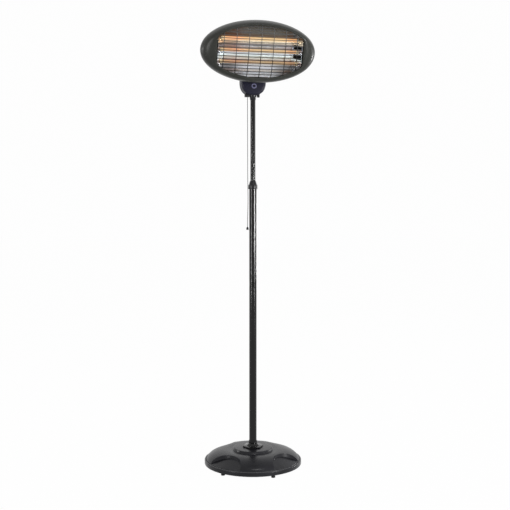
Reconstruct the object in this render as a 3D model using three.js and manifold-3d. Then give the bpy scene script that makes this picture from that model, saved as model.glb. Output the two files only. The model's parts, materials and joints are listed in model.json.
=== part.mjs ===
// Infrared patio heater tower: a tilting oval head with three quartz heating tubes, on a
// telescopic pole that screws into a weighted round base. A pull cord under the head switches it.
// Sizes are in millimetres, +Z is up, the head's front looks along -Y, and the origin is the
// centre of the floor under the base. Angles round the pole count from the front towards +X.

import * as THREE from 'three';
import { mergeVertices } from 'three/addons/utils/BufferGeometryUtils.js';
import Module from 'manifold-3d';

const wasm = await Module();
wasm.setup();

// Clearances
const seatGap = 0.3; // between pieces that rest on each other
const runGap = 0.3; // radial, between pieces that slide or turn in each other

// Feet
const footHeight = 17;
const footRadius = 8.5;
const footStemRadius = 4;
const footChamfer = 1.5;
const footCount = 5;
const firstFootAngle = 16;

// Base cover, weight and plate
const baseRadius = 209;
const footInset = 29; // from the rim to the circle of the feet
const footCircle = baseRadius - footInset;
const coverWall = 2.2;
const beadTop = 34.5; // top of the rounded bead round the rim
const beadWidth = 4;
const beadRound = 2.5;
const grooveDepth = 1.2; // between the bead and the dome
const domeInset = 7;
const domeEdgeRadius = baseRadius - domeInset;
const domeEdgeHeight = 41;
const domeBulge = 9; // how far the dome stands above the straight slope, at its middle
const plateauFootRadius = 90;
const plateauFootHeight = 74;
const plateauRadius = 84;
const plateauHeight = 84;
const scoopCount = 4;
const firstScoopAngle = 39;
const scoopOutset = 5; // of a scoop's centre past the rim
const scoopCentreRadius = baseRadius + scoopOutset;
const scoopRadius = 90;
const scoopSlope = 0.235; // rise of the scoop's floor towards the pole, per millimetre
const scoopSides = 24;
const plateThickness = 2;
const weightRoom = 16; // round the weight, inside the dome's edge
const weightRadius = domeEdgeRadius - weightRoom;
const weightEdgeHeight = 15;
const weightShoulderRadius = 116;
const weightShoulderHeight = 27;
const weightBossRadius = 68;
const weightBossSlope = 14;

// Foot flange and base bolt
const flangeAcrossCorners = 90;
const flangeThickness = 5.5;
const flangeFloor = 2.7; // metal left under the pole's end
const socketRadius = 18.5;
const socketFlareRadius = 26.5;
const socketFlareHeight = 9;
const socketEase = 1.2;
const socketHeight = 28;
const boltRadius = 5;
const boltRoom = 1; // round the bolt, in the cover, the weight and the plate
const boltHeadRadius = 9;
const boltHeadHeight = 6.4;
const washerRadius = 14;
const washerThickness = 1.5;
const plugHeight = 28;
const plugCap = 6; // over the bolt's end

// Lower pole, in two sections
const poleRadius = 16;
const poleWall = 1.2;
const seamHeight = 776; // foot of the coupler's ring
const couplerRing = 22;
const couplerSpigot = 36;
const couplerBore = 12;
const poleTop = 1201.7;

// Collar
const collarRadius = 19.75;
const collarRingHeight = 19;
const collarConeHeight = 16.5;
const collarConeTopRadius = 12.5;
const collarConeFootRadius = 17;
const collarWall = 3.2;
const collarSpigot = 30;
const collarThread = 12;
const colletHeight = 11;
const colletTaper = 1.5;
const colletSlit = 1.6;
const collarEase = 0.8;
const collarLip = 4; // height of the nut's bore that closes on the mast

// Mast: the upper pole, its glide bush and the neck
const mastRadius = 11;
const mastWall = 1.1;
const mastInsert = 206.7; // of the mast's foot below the lower pole's top
const mastFoot = poleTop - mastInsert;
const mastLength = 639;
const mastTop = mastFoot + mastLength;
const bushHeight = 24;
const beadRise = 1.2;
const beadHeight = 2;
const endPlugFlange = 3;
const endPlugSpigot = 15;
const neckGrip = 45; // of the neck's foot below the mast's end
const neckFoot = mastTop - neckGrip;
const neckConeHeight = 18;
const neckFootRadius = 12.2;
const neckRadius = 15.5;
const neckFlangeRadius = 18.4;
const neckFlangeThickness = 2.3;
const neckFlangeRise = 5.7; // above the housing's lowest point, inside it
const neckSpigotStep = 1.5;
const mastStandUp = 3; // of the mast's end above the neck's

// Switch housing under the head
const housingHalfWidth = 54.5;
const housingLift = 2; // of its lowest point above the neck's cone
const housingBottom = neckFoot + neckConeHeight + housingLift;
const housingDrop = 59; // from the centre to the lowest point
const housingCentreHeight = housingBottom + housingDrop;
const housingShoulder = 8; // of its top above the centre
const housingTop = housingCentreHeight + housingShoulder;
const housingFront = 24; // ahead of the pole's axis
const housingBack = 36;
const housingSplit = 6;
const housingWall = 2.5;
const housingRound = 7;
const housingRoundness = 2.4; // 2 is an ellipse, more is squarer
const capRadius = 11;
const capHoleRadius = 6.5;
const capThickness = 1.2;
const capEase = 0.5;
const capDrop = 21; // below the housing's centre
const capHeight = housingCentreHeight - capDrop;
const screwHeadRadius = 4;
const screwHeadHeight = 2.4;
const screwRadius = 1.8;
const screwLength = 12;
const screwSpan = 34;
const screwDrop = 16; // below the housing's centre
const screwHeight = housingCentreHeight - screwDrop;

// Pull switch, cord and cable gland
const lugOffset = 24;
const lugStandOut = 8; // below the housing
const lugFoot = housingBottom - lugStandOut;
const outletWidth = 20;
const outletShift = 2.2; // its middle is this far out from the cord's line
const outletDepth = 15;
const outletCorner = 3;
const outletBore = 2;
const lugNeckRadius = 5;
const lugNeckRise = 7;
const glandRadius = 6.2;
const glandBore = 3.6;
const switchWidth = 26;
const switchHeight = 24;
const switchRise = 31; // above the housing's lowest point
const switchFoot = housingBottom + switchRise;
const switchWall = 6;
const terminalRise = 5;
const leverHubRadius = 3.5;
const leverThickness = 3;
const leverWidth = 8;
const leverOverhang = 2.5; // past the cord's line
const linkRadius = 1.1;
const cordRadius = 1.1;
const cordSteps = 64;
const knobRadius = 5;
const knobHeight = 13;
const knobEase = 1.1;
const knobShoulder = 4.5;
const knobTopRadius = 2.8;
// The cord's route, as [x, y, z] from the outlet's foot down to the knob
const cordRoute = [
  [-24, 0, -0.6], [-24, 0, -9], [-23.9, 0, -31], [-23.7, 0, -71], [-23.5, 0, -121],
  [-23.4, 0, -171], [-23.3, 0, -221], [-23.2, 0, -271], [-23.1, 0, -316], [-22.8, 0, -356],
  [-22.3, 0, -391], [-21.8, 0, -421], [-21.7, 0, -446], [-22.1, 0, -476], [-22.9, 0, -506],
  [-23.6, 0, -531], [-24, 0, -551], [-24, 0, -559], [-24, 0, -562.7],
].map(([x, y, z]) => [x, y, lugFoot + z]);

// Tilt joint
const pivotBack = 8; // behind the pole's axis
const pivotRise = 42; // above the housing
const pivotHeight = housingTop + pivotRise;
const headTilt = 20; // degrees that the head looks down
const yokeHalfGap = 29;
const yokeThickness = 2.5;
const yokeRadius = 13;
const yokeFootThickness = 3;
const yokeFootDepth = 34;
const frictionWasherThickness = 1.2;
const frictionWasherRadius = 10;
const tiltBoltRadius = 4;
const tiltHeadRadius = 9;
const tiltHeadThickness = 5;
const tiltNutRadius = 7.5;
const tiltNutThickness = 7;
const boltStandOut = 2; // of the bolt's end past its nut
const earThickness = 4;
const earRadius = 12;
const earRoot = 10; // behind the head's middle plane, inside the shell until it is cut
const saddleThickness = 3;
const saddleTop = -54;
const saddleFoot = -116;

// Head
const headHalfWidth = 247;
const headHalfHeight = 131;
const headBackDepth = 50; // rear shell
const headFrontDepth = 55; // bezel
const headAhead = 85; // from the tilt axis to the head's middle plane
const headRise = 97.5; // from the tilt axis up to the head's centre, along the head
const headWall = 2;
const bezelEndWidth = 63.5; // from the head's end to the opening
const openingHalfWidth = headHalfWidth - bezelEndWidth;
const openingArcInset = 34;
// Half width of the ellipse that the opening's long edges follow
const openingArcHalfWidth = headHalfWidth - openingArcInset;
const openingHalfHeight = 108;
const openingRise = 6.5; // the opening's centre above the head's centre
const lipDepth = 7.7;
const ventCount = 9;
const ventPitch = 22;
const ventWidth = 7;
const ventHeight = 44;
const ventRise = 34;

// Grille
const wirePitch = 12.8;
const wireCount = 17; // level wires
const wireRadius = 0.9;
const ribPitch = 52;
const ribCount = 7; // upright wires
const ribRadius = 1.1;
const grilleBow = 16;
const bowPower = 0.7; // below 1 the bow is fuller
const grilleSeat = 2.5; // ahead of the lip's back; the lip's inner side holds the wires' ends

// Reflector, brackets and heat shield
const sheet = 0.8;
const bracketSheet = 1.2;
const troughHalfHeight = 71;
const troughRidge = 8;
const troughFlat = 10.5;
const reflectorLip = 109; // half height of the reflector's front edge
const reflectorEdgeInset = 5.5; // from the opening's end
const reflectorHalfWidth = openingHalfWidth - reflectorEdgeInset; // at the front edge
const reflectorEndRun = 32; // of each slanted end, along X
const reflectorBackHalfWidth = reflectorHalfWidth - reflectorEndRun;
const windowHeight = 19;
const windowWidth = 26;
const shieldInset = 6;
const shieldHalfWidth = reflectorBackHalfWidth - shieldInset;
const shieldHalfHeight = 66;
const terminalMiddle = -60;
const terminalWidth = 50;
const terminalHeight = 24;
const terminalDepth = 14;
const barrierRise = 5;
const barrierWidth = 3;

// Heating tubes
const tubeCount = 3;
const tubePitch = 48.5;
const tubeDepth = 24; // ahead of the reflector's back
const tubeRadius = 6.25;
const tubeWall = 1.2;
const tubeEndInset = 23.5; // from the opening's end
const tubeHalfLength = openingHalfWidth - tubeEndInset;
const ceramicRadius = 8;
const ceramicOverlap = 3; // of a cap over its tube
const ceramicReach = 26; // of a cap past its tube
const ceramicStart = tubeHalfLength - ceramicOverlap;
const ceramicEnd = tubeHalfLength + ceramicReach;
const ceramicBore = 2;
const coilRadius = 3.6;
const coilWireRadius = 0.75;
const coilTurns = 10;
const coilSteps = 8; // in each turn
const coilSides = 5;
const coilHalfLength = tubeHalfLength - 1;
const coilLead = 4;

// Materials
const finish = (color, roughness, metalness) =>
  new THREE.MeshStandardMaterial({ color, roughness, metalness });
const blackEnamel = finish(0x1d1d20, 0.25, 0.2);
const charcoalCover = finish(0x2b2b30, 0.3, 0.1);
const oliveGrey = finish(0x4b4b47, 0.45, 0.3);
const navyPlastic = finish(0x2b2b38, 0.45, 0);
const blackPlastic = finish(0x18181a, 0.5, 0);
const palePlastic = finish(0xa8a6c4, 0.4, 0);
const castConcrete = finish(0x8b8780, 0.9, 0);
const zincSteel = finish(0xb5b7ba, 0.35, 0.9);
const polishedAluminium = finish(0xe4e4e6, 0.08, 1);
const wireSteel = finish(0x8c8c8e, 0.35, 0.8);
const rubber = finish(0x151515, 0.85, 0);
const quartz = finish(0xf7d9a6, 0.1, 0);
const glowingWire = finish(0xff9a4a, 0.5, 0.2);
const ceramic = finish(0xdccfb4, 0.7, 0);
const whiteCord = finish(0xd8d8d6, 0.8, 0);

// Sides of turned pieces
const seenSides = 20;
const smallSides = 12;
const hiddenSides = 14;
const baseSides = 40;

// Geometry helpers

const radians = (degrees) => degrees * Math.PI / 180;

// Position only, doubles merged, no flat triangles, faces out.
function cleaned(geometry) {
  const plain = geometry.clone();
  plain.deleteAttribute('normal');
  plain.deleteAttribute('uv');
  plain.clearGroups();
  const merged = mergeVertices(plain, 1e-3);
  const index = merged.index.array;
  const kept = [];
  for (let i = 0; i < index.length; i += 3) {
    const [a, b, c] = [index[i], index[i + 1], index[i + 2]];
    if (a !== b && b !== c && c !== a) kept.push(a, b, c);
  }
  const corner = (i) => new THREE.Vector3().fromBufferAttribute(merged.attributes.position, i);
  let volume = 0;
  for (let i = 0; i < kept.length; i += 3) {
    volume += corner(kept[i]).dot(corner(kept[i + 1]).cross(corner(kept[i + 2])));
  }
  if (volume < 0) kept.reverse();
  merged.setIndex(kept);
  return merged;
}

function toSolid(geometry) {
  const closed = cleaned(geometry);
  return new wasm.Manifold(new wasm.Mesh({
    numProp: 3,
    vertProperties: new Float32Array(closed.attributes.position.array),
    triVerts: new Uint32Array(closed.index.array),
  }));
}

function toGeometry(solid) {
  const mesh = solid.getMesh();
  const geometry = new THREE.BufferGeometry();
  geometry.setAttribute('position', new THREE.BufferAttribute(mesh.vertProperties, 3));
  geometry.setIndex(new THREE.BufferAttribute(mesh.triVerts, 1));
  return geometry;
}

const joined = (first, ...others) => others.reduce((body, other) => body.add(other), first);
const cut = (first, ...others) => others.reduce((body, other) => body.subtract(other), first);

// A turned body about the Z axis, from [radius, height] pairs. An open profile starts and
// ends on the axis, and a ring's profile closes on itself.
function turned(profile, segments = seenSides) {
  const onAxis = profile[0][0] === 0;
  const points = onAxis ? profile : [...profile, profile[0]];
  const vectors = points.map(([radius, height]) => new THREE.Vector2(radius, height));
  return new THREE.LatheGeometry(vectors, segments).rotateX(Math.PI / 2);
}

const ringProfile = (inner, outer, low, high) =>
  [[inner, low], [outer, low], [outer, high], [inner, high]];
const discProfile = (radius, low, high) => [[0, low], [radius, low], [radius, high], [0, high]];

// An upright prism with `sides` corners, the first on the X axis.
function prism(sides, cornerRadius, low, high) {
  const body = new THREE.CylinderGeometry(cornerRadius, cornerRadius, high - low, sides);
  return body.rotateX(Math.PI / 2).rotateZ(Math.PI / 2).translate(0, 0, (low + high) / 2);
}

function block([x0, x1], [y0, y1], [z0, z1]) {
  const body = new THREE.BoxGeometry(x1 - x0, y1 - y0, z1 - z0);
  return body.translate((x0 + x1) / 2, (y0 + y1) / 2, (z0 + z1) / 2);
}

// A rod along X between two places, at a given Y and Z.
function rodAlongX(radius, x0, x1, y, z, sides = smallSides) {
  const body = new THREE.CylinderGeometry(radius, radius, x1 - x0, sides);
  return body.rotateZ(Math.PI / 2).translate((x0 + x1) / 2, y, z);
}

// A plate across X between two places, its outline given as [y, z] pairs.
function plateAcrossX(outline, x0, x1) {
  const shape = new THREE.Shape(outline.map(([y, z]) => new THREE.Vector2(y, z)));
  const body = new THREE.ExtrudeGeometry(shape, { depth: x1 - x0, bevelEnabled: false });
  return body.rotateY(Math.PI / 2).rotateX(Math.PI / 2).translate(x0, 0, 0);
}

// A skin through rings of equal size. Without caps the last ring joins the first.
function skin(rings, caps) {
  const size = rings[0].length;
  const positions = rings.flat().flatMap((point) => [point.x, point.y, point.z]);
  const index = [];
  const bands = caps ? rings.length - 1 : rings.length;
  for (let band = 0; band < bands; band += 1) {
    const low = band * size;
    const high = ((band + 1) % rings.length) * size;
    for (let i = 0; i < size; i += 1) {
      const j = (i + 1) % size;
      index.push(low + i, low + j, high + j, low + i, high + j, high + i);
    }
  }
  if (caps) {
    for (const [ring, flip] of [[0, true], [rings.length - 1, false]]) {
      const middle = new THREE.Vector3();
      rings[ring].forEach((point) => middle.addScaledVector(point, 1 / size));
      const hub = positions.length / 3;
      positions.push(middle.x, middle.y, middle.z);
      for (let i = 0; i < size; i += 1) {
        const a = ring * size + i;
        const b = ring * size + (i + 1) % size;
        index.push(hub, flip ? b : a, flip ? a : b);
      }
    }
  }
  const geometry = new THREE.BufferGeometry();
  geometry.setAttribute('position', new THREE.Float32BufferAttribute(positions, 3));
  geometry.setIndex(index);
  return geometry;
}

function mesh(name, geometry, material) {
  const shown = geometry instanceof THREE.BufferGeometry ? geometry : toGeometry(geometry);
  const node = new THREE.Mesh(cleaned(shown), material);
  node.name = name;
  return node;
}

const aroundPole = (radius, angle) =>
  [radius * Math.sin(radians(angle)), -radius * Math.cos(radians(angle))];

// Base

const plateBottom = footHeight;
const plateTop = plateBottom + plateThickness;

function foot(number) {
  const top = footHeight - seatGap;
  const profile = [
    [0, 0], [footRadius - footChamfer, 0], [footRadius, footChamfer], [footRadius, top],
    [footStemRadius, top], [footStemRadius, plateTop], [0, plateTop],
  ];
  const angle = firstFootAngle + (number - 1) * 360 / footCount;
  const node = mesh(`foot_${number}`, turned(profile, smallSides), rubber);
  node.position.set(...aroundPole(footCircle, angle), 0);
  return node;
}

const domeSlope = (plateauFootHeight - domeEdgeHeight) / (domeEdgeRadius - plateauFootRadius);

function domeProfile(inset) {
  const steps = 3;
  const profile = [];
  for (let i = 0; i <= steps; i += 1) {
    const t = i / steps;
    const radius = domeEdgeRadius + (plateauFootRadius - domeEdgeRadius) * t;
    const straight = domeEdgeHeight + (domeEdgeRadius - radius) * domeSlope;
    profile.push([radius, straight + domeBulge * 4 * t * (1 - t) - inset]);
  }
  return profile;
}

function scoopTool(grow) {
  const reach = plateauHeight * 2;
  const coneTip = domeEdgeHeight + domeEdgeRadius * scoopSlope - grow;
  const coneEdge = domeEdgeHeight - (baseRadius - domeEdgeRadius + reach) * scoopSlope - grow;
  const far = baseRadius + reach;
  const floor = [[0, -reach], [far, -reach], [far, coneEdge], [0, coneTip]];
  const tools = [];
  for (let i = 0; i < scoopCount; i += 1) {
    const [x, y] = aroundPole(scoopCentreRadius, firstScoopAngle + i * 360 / scoopCount);
    const column = turned(discProfile(scoopRadius + grow, 0, reach), scoopSides);
    tools.push(toSolid(column.translate(x, y, 0)));
  }
  return cut(joined(...tools), toSolid(turned(floor, baseSides)));
}

function baseCover() {
  const groove = baseRadius - beadWidth;
  const outline = [
    [0, plateBottom], [baseRadius, plateBottom], [baseRadius, beadTop - beadRound],
    [baseRadius - beadWidth / 2, beadTop], [groove, beadTop - grooveDepth],
    ...domeProfile(0), [plateauRadius, plateauHeight], [0, plateauHeight],
  ];
  const under = plateBottom - 1;
  const inner = baseRadius - coverWall;
  const ledge = beadTop - grooveDepth - coverWall;
  const hollow = [
    [0, under], [inner, under], [inner, ledge], [domeEdgeRadius - coverWall, ledge],
    ...domeProfile(coverWall).slice(1), [plateauRadius - coverWall, plateauHeight - coverWall],
    [0, plateauHeight - coverWall],
  ];
  const outside = cut(toSolid(turned(outline, baseSides)), scoopTool(0));
  const inside = cut(toSolid(turned(hollow, baseSides)), scoopTool(coverWall));
  const bolt = discProfile(boltRadius + boltRoom, 0, plateauHeight + 1);
  const boltHole = toSolid(turned(bolt, hiddenSides));
  return mesh('base_cover', cut(outside, inside, boltHole), charcoalCover);
}

function baseWeight() {
  const bottom = plateTop + seatGap;
  const top = plateauHeight - coverWall - seatGap;
  const bore = boltRadius + boltRoom;
  const profile = [
    [bore, bottom], [weightRadius, bottom], [weightRadius, bottom + weightEdgeHeight],
    [weightShoulderRadius, bottom + weightShoulderHeight],
    [weightBossRadius, top - weightBossSlope],
    [weightBossRadius - weightBossSlope / 2, top], [bore, top],
  ];
  return mesh('base_weight', turned(profile, hiddenSides), castConcrete);
}

function basePlate() {
  const rim = baseRadius - coverWall - seatGap;
  const disc = toSolid(turned(discProfile(rim, plateBottom, plateTop), baseSides));
  const bolt = discProfile(boltRadius + boltRoom, 0, plateTop + 1);
  const holes = [toSolid(turned(bolt, hiddenSides))];
  for (let i = 0; i < footCount; i += 1) {
    const [x, y] = aroundPole(footCircle, firstFootAngle + i * 360 / footCount);
    const hole = discProfile(footStemRadius + runGap, 0, plateTop + 1);
    holes.push(toSolid(turned(hole, smallSides).translate(x, y, 0)));
  }
  return mesh('base_plate', cut(disc, ...holes), zincSteel);
}

const flangeBottom = plateauHeight + seatGap;
const flangeTop = flangeBottom + flangeThickness;
const poleFoot = flangeBottom + flangeFloor + seatGap;

function footFlange() {
  const plate = toSolid(prism(6, flangeAcrossCorners / 2, flangeBottom, flangeTop));
  const top = plateauHeight + socketHeight;
  const flareTop = flangeTop + socketFlareHeight;
  const socket = [
    [0, flangeBottom + 1], [socketFlareRadius, flangeBottom + 1], [socketFlareRadius, flangeTop + 1],
    [socketRadius + 2.5, (flangeTop + flareTop) / 2], [socketRadius, flareTop],
    [socketRadius, top - socketEase], [socketRadius - socketEase, top], [0, top],
  ];
  const bore = discProfile(poleRadius + runGap, flangeBottom + flangeFloor, top + 1);
  const boltHole = discProfile(boltRadius + runGap, 0, top);
  const body = joined(plate, toSolid(turned(socket, seenSides)));
  const shape = cut(body, toSolid(turned(bore, seenSides)), toSolid(turned(boltHole, hiddenSides)));
  return mesh('foot_flange', shape, blackEnamel);
}

const washerTop = plateBottom - seatGap;
const washerBottom = washerTop - washerThickness;
const boltHeadTop = washerBottom - seatGap;
const plugBottom = poleFoot;
const plugTop = plugBottom + plugHeight;
const boltTop = plugTop - plugCap;

function baseBolt() {
  const head = toSolid(prism(6, boltHeadRadius, boltHeadTop - boltHeadHeight, boltHeadTop));
  const shank = toSolid(turned(discProfile(boltRadius, boltHeadTop - 1, boltTop), hiddenSides));
  return mesh('base_bolt', joined(head, shank), zincSteel);
}

function baseWasher() {
  const profile = ringProfile(boltRadius + runGap, washerRadius, washerBottom, washerTop);
  return mesh('base_washer', turned(profile, hiddenSides), zincSteel);
}

// Lower pole and collar

const poleBore = poleRadius - poleWall;
const spigotRadius = poleBore - seatGap;
const ringTop = seamHeight + couplerRing;

function poleSection(name, low, high) {
  return mesh(name, turned(ringProfile(poleBore, poleRadius, low, high), seenSides), blackEnamel);
}

function polePlug() {
  const thread = discProfile(boltRadius + runGap, plugBottom - 1, boltTop + boltRoom);
  const closed = toSolid(turned(discProfile(spigotRadius, plugBottom, plugTop), hiddenSides));
  return mesh('pole_plug', cut(closed, toSolid(turned(thread, hiddenSides))), blackPlastic);
}

function poleCoupler() {
  const profile = [
    [couplerBore, seamHeight - couplerSpigot], [spigotRadius, seamHeight - couplerSpigot],
    [spigotRadius, seamHeight], [poleRadius, seamHeight], [poleRadius, ringTop],
    [spigotRadius, ringTop], [spigotRadius, ringTop + couplerSpigot],
    [couplerBore, ringTop + couplerSpigot],
  ];
  return mesh('pole_coupler', turned(profile, seenSides), blackEnamel);
}

const collarFoot = poleTop + seatGap;
const collarShoulder = collarFoot + collarRingHeight;
const collarTop = collarShoulder + collarConeHeight;
const threadRadius = collarRadius - collarWall - runGap;
const mastPass = mastRadius + runGap;

function collarBody() {
  const profile = [
    [mastPass, poleTop - collarSpigot], [spigotRadius, poleTop - collarSpigot],
    [spigotRadius, collarFoot], [threadRadius, collarFoot],
    [threadRadius, collarFoot + collarThread], [mastPass, collarFoot + collarThread],
  ];
  return mesh('collar_body', turned(profile, hiddenSides), blackPlastic);
}

const colletBottom = collarFoot + collarThread + seatGap;

function collarCollet() {
  const outer = threadRadius - colletTaper;
  const top = colletBottom + colletHeight;
  const profile = [
    [mastPass, colletBottom], [outer, colletBottom], [outer - colletTaper, top], [mastPass, top],
  ];
  const half = colletSlit / 2;
  const split = block([0, poleRadius], [-half, half], [colletBottom - 1, collarTop]);
  return mesh('collar_collet', cut(toSolid(turned(profile, hiddenSides)), toSolid(split)), blackPlastic);
}

function collarNut() {
  const bore = threadRadius + runGap;
  const profile = [
    [bore, collarFoot], [collarRadius - collarEase, collarFoot], [collarRadius, collarFoot + collarEase],
    [collarRadius, collarShoulder - collarEase], [collarRadius - collarEase, collarShoulder],
    [collarConeFootRadius, collarShoulder], [collarConeTopRadius, collarTop],
    [mastPass, collarTop], [mastPass, collarTop - collarLip], [bore, colletBottom],
  ];
  return mesh('collar_nut', turned(profile), blackEnamel);
}

// Mast

const endPlugRadius = poleBore - 2 * runGap;
const bushFoot = mastFoot + seatGap;

function glideBush() {
  const profile = ringProfile(mastPass, poleBore - runGap, bushFoot, bushFoot + bushHeight);
  return mesh('glide_bush', turned(profile, hiddenSides), blackPlastic);
}

function upperPole() {
  const bead = bushFoot + bushHeight + seatGap;
  const profile = [
    [mastRadius - mastWall, mastFoot], [mastRadius, mastFoot], [mastRadius, bead],
    [mastRadius + beadRise, bead], [mastRadius + beadRise, bead + beadHeight],
    [mastRadius, bead + beadHeight + beadRise],
    [mastRadius, mastTop], [mastRadius - mastWall, mastTop],
  ];
  return mesh('upper_pole', turned(profile, seenSides), blackEnamel);
}

function mastEndPlug() {
  const top = mastFoot - seatGap;
  const spigot = mastRadius - mastWall - seatGap;
  const profile = [
    [0, top - endPlugFlange], [endPlugRadius, top - endPlugFlange], [endPlugRadius, top],
    [spigot, top], [spigot, top + endPlugSpigot], [0, top + endPlugSpigot],
  ];
  return mesh('mast_end_plug', turned(profile, hiddenSides), blackPlastic);
}

const neckShoulder = neckFoot + neckConeHeight;
const neckFlangeFoot = housingBottom + neckFlangeRise;

function neck() {
  const flangeHead = neckFlangeFoot + neckFlangeThickness;
  const top = mastTop - mastStandUp;
  const profile = [
    [mastPass, neckFoot], [neckFootRadius, neckFoot], [neckRadius, neckShoulder],
    [neckRadius, neckFlangeFoot], [neckFlangeRadius, neckFlangeFoot],
    [neckFlangeRadius, flangeHead], [neckRadius - neckSpigotStep, flangeHead],
    [neckRadius - neckSpigotStep, top], [mastPass, top],
  ];
  return mesh('neck', turned(profile, seenSides), blackPlastic);
}

// Switch housing

// A ring of the housing's outline, drawn in by `inset`, at a given Y.
function housingRing(inset, y) {
  const halfWidth = housingHalfWidth - inset;
  const drop = housingDrop - inset;
  const power = 2 / housingRoundness;
  const steps = 16;
  const ring = [new THREE.Vector3(halfWidth, y, housingTop - inset)];
  for (let i = 0; i <= steps; i += 1) {
    const angle = Math.PI * i / steps;
    const across = Math.sign(Math.cos(angle)) * Math.abs(Math.cos(angle)) ** power;
    const down = Math.max(Math.sin(angle), 0) ** power;
    ring.push(new THREE.Vector3(halfWidth * across, y, housingCentreHeight - drop * down));
  }
  ring.push(new THREE.Vector3(-halfWidth, y, housingTop - inset));
  return ring;
}

function housingBody(inset) {
  const round = housingRound - Math.max(inset, 0);
  const steps = 2;
  const front = [];
  const back = [];
  for (let i = 0; i <= steps; i += 1) {
    const angle = Math.PI / 2 * i / steps;
    const drawnIn = inset + round * (1 - Math.sin(angle));
    const fromFace = inset + round * (1 - Math.cos(angle));
    front.push(housingRing(drawnIn, -housingFront + fromFace));
    back.unshift(housingRing(drawnIn, housingBack - fromFace));
  }
  return toSolid(skin([...front, ...back], true));
}

const lugTop = housingBottom + lugNeckRise + 4;

function housingShell() {
  const shell = cut(housingBody(0), housingBody(housingWall));
  const neckHole = discProfile(neckRadius + seatGap, neckFoot, neckFlangeFoot + 5);
  const lugHole = discProfile(lugNeckRadius + seatGap, lugFoot, lugTop + 1);
  const screwRoom = screwRadius + seatGap;
  const screwHole = new THREE.CylinderGeometry(screwRoom, screwRoom, 2 * housingRound, smallSides);
  return cut(
    shell,
    toSolid(turned(neckHole, seenSides)),
    toSolid(turned(lugHole, hiddenSides).translate(-lugOffset, 0, 0)),
    toSolid(turned(lugHole, hiddenSides).translate(lugOffset, 0, 0)),
    toSolid(screwHole.clone().translate(-screwSpan, housingBack, screwHeight)),
    toSolid(screwHole.clone().translate(screwSpan, housingBack, screwHeight)),
  );
}

function housingHalves() {
  const far = housingHalfWidth * 2;
  const levels = [lugFoot - far, housingTop + far];
  const front = block([-far, far], [-far, housingSplit - seatGap / 2], levels);
  const back = block([-far, far], [housingSplit + seatGap / 2, far], levels);
  const shell = housingShell();
  return [
    mesh('housing_front', shell.intersect(toSolid(front)), navyPlastic),
    mesh('housing_back', shell.intersect(toSolid(back)), navyPlastic),
  ];
}

function screwCapRing() {
  const profile = [
    [capHoleRadius, 0], [capRadius, 0], [capRadius, capThickness - capEase],
    [capRadius - capEase, capThickness], [capHoleRadius + capEase, capThickness],
    [capHoleRadius, capThickness - capEase],
  ];
  const body = turned(profile, hiddenSides).rotateX(Math.PI / 2);
  return mesh('screw_cap_ring', body.translate(0, -housingFront - seatGap, capHeight), palePlastic);
}

function housingScrew(name, side) {
  const profile = [
    [0, -screwLength], [screwRadius, -screwLength], [screwRadius, 0], [screwHeadRadius, 0],
    [screwHeadRadius, screwHeadHeight / 2], [screwHeadRadius - screwHeadHeight / 2, screwHeadHeight],
    [0, screwHeadHeight],
  ];
  const body = turned(profile, smallSides).rotateX(-Math.PI / 2);
  const place = [side * screwSpan, housingBack + seatGap, screwHeight];
  return mesh(name, body.translate(...place), zincSteel);
}

// A lug that hangs under the housing, cut to its curve, with a neck through its wall.
function lug(name, foot, boreRadius, x) {
  const stem = turned(discProfile(lugNeckRadius, lugFoot + 1, lugTop), hiddenSides);
  const bore = turned(discProfile(boreRadius, lugFoot - 1, lugTop + 1), hiddenSides);
  const trimmed = cut(toSolid(foot), housingBody(-seatGap));
  const whole = joined(trimmed, toSolid(stem.translate(x, 0, 0)));
  return mesh(name, cut(whole, toSolid(bore.translate(x, 0, 0))), blackPlastic);
}

const lugReach = housingBottom + 8;

function cordOutlet() {
  const acrossHalf = outletWidth / 2 - outletCorner;
  const depthHalf = outletDepth / 2 - outletCorner;
  const shape = new THREE.Shape();
  shape.absarc(-acrossHalf, -depthHalf, outletCorner, Math.PI, 1.5 * Math.PI);
  shape.absarc(acrossHalf, -depthHalf, outletCorner, 1.5 * Math.PI, 2 * Math.PI);
  shape.absarc(acrossHalf, depthHalf, outletCorner, 0, 0.5 * Math.PI);
  shape.absarc(-acrossHalf, depthHalf, outletCorner, 0.5 * Math.PI, Math.PI);
  const options = { depth: lugReach - lugFoot, bevelEnabled: false, curveSegments: 3 };
  const body = new THREE.ExtrudeGeometry(shape, options);
  body.translate(-lugOffset - outletShift, 0, lugFoot);
  return lug('cord_outlet', body, outletBore, -lugOffset);
}

function cableGland() {
  const body = turned(discProfile(glandRadius, lugFoot, lugReach), hiddenSides);
  return lug('cable_gland', body.translate(lugOffset, 0, 0), glandBore, lugOffset);
}

const switchBack = housingBack - housingWall - seatGap;
const leverPivotX = -leverHubRadius - seatGap;
const leverHeight = switchFoot + switchHeight / 2;

function switchBody() {
  const front = -leverWidth / 2 - switchWall;
  const top = switchFoot + switchHeight;
  const body = block([0, switchWidth], [front, switchBack], [switchFoot, top]);
  const terminals = block(
    [switchWall, switchWidth - switchWall], [switchWall, switchBack / 2], [top - 1, top + terminalRise],
  );
  return mesh('switch_body', joined(toSolid(body), toSolid(terminals)), blackPlastic);
}

function switchLever() {
  const hub = new THREE.CylinderGeometry(leverHubRadius, leverHubRadius, leverWidth, smallSides);
  const tip = -lugOffset - leverOverhang;
  const half = leverThickness / 2;
  const arm = block(
    [tip, leverPivotX], [-leverWidth / 2, leverWidth / 2], [leverHeight - half, leverHeight + half],
  );
  const shape = joined(toSolid(hub.translate(leverPivotX, 0, leverHeight)), toSolid(arm));
  return mesh('switch_lever', shape, palePlastic);
}

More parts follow.
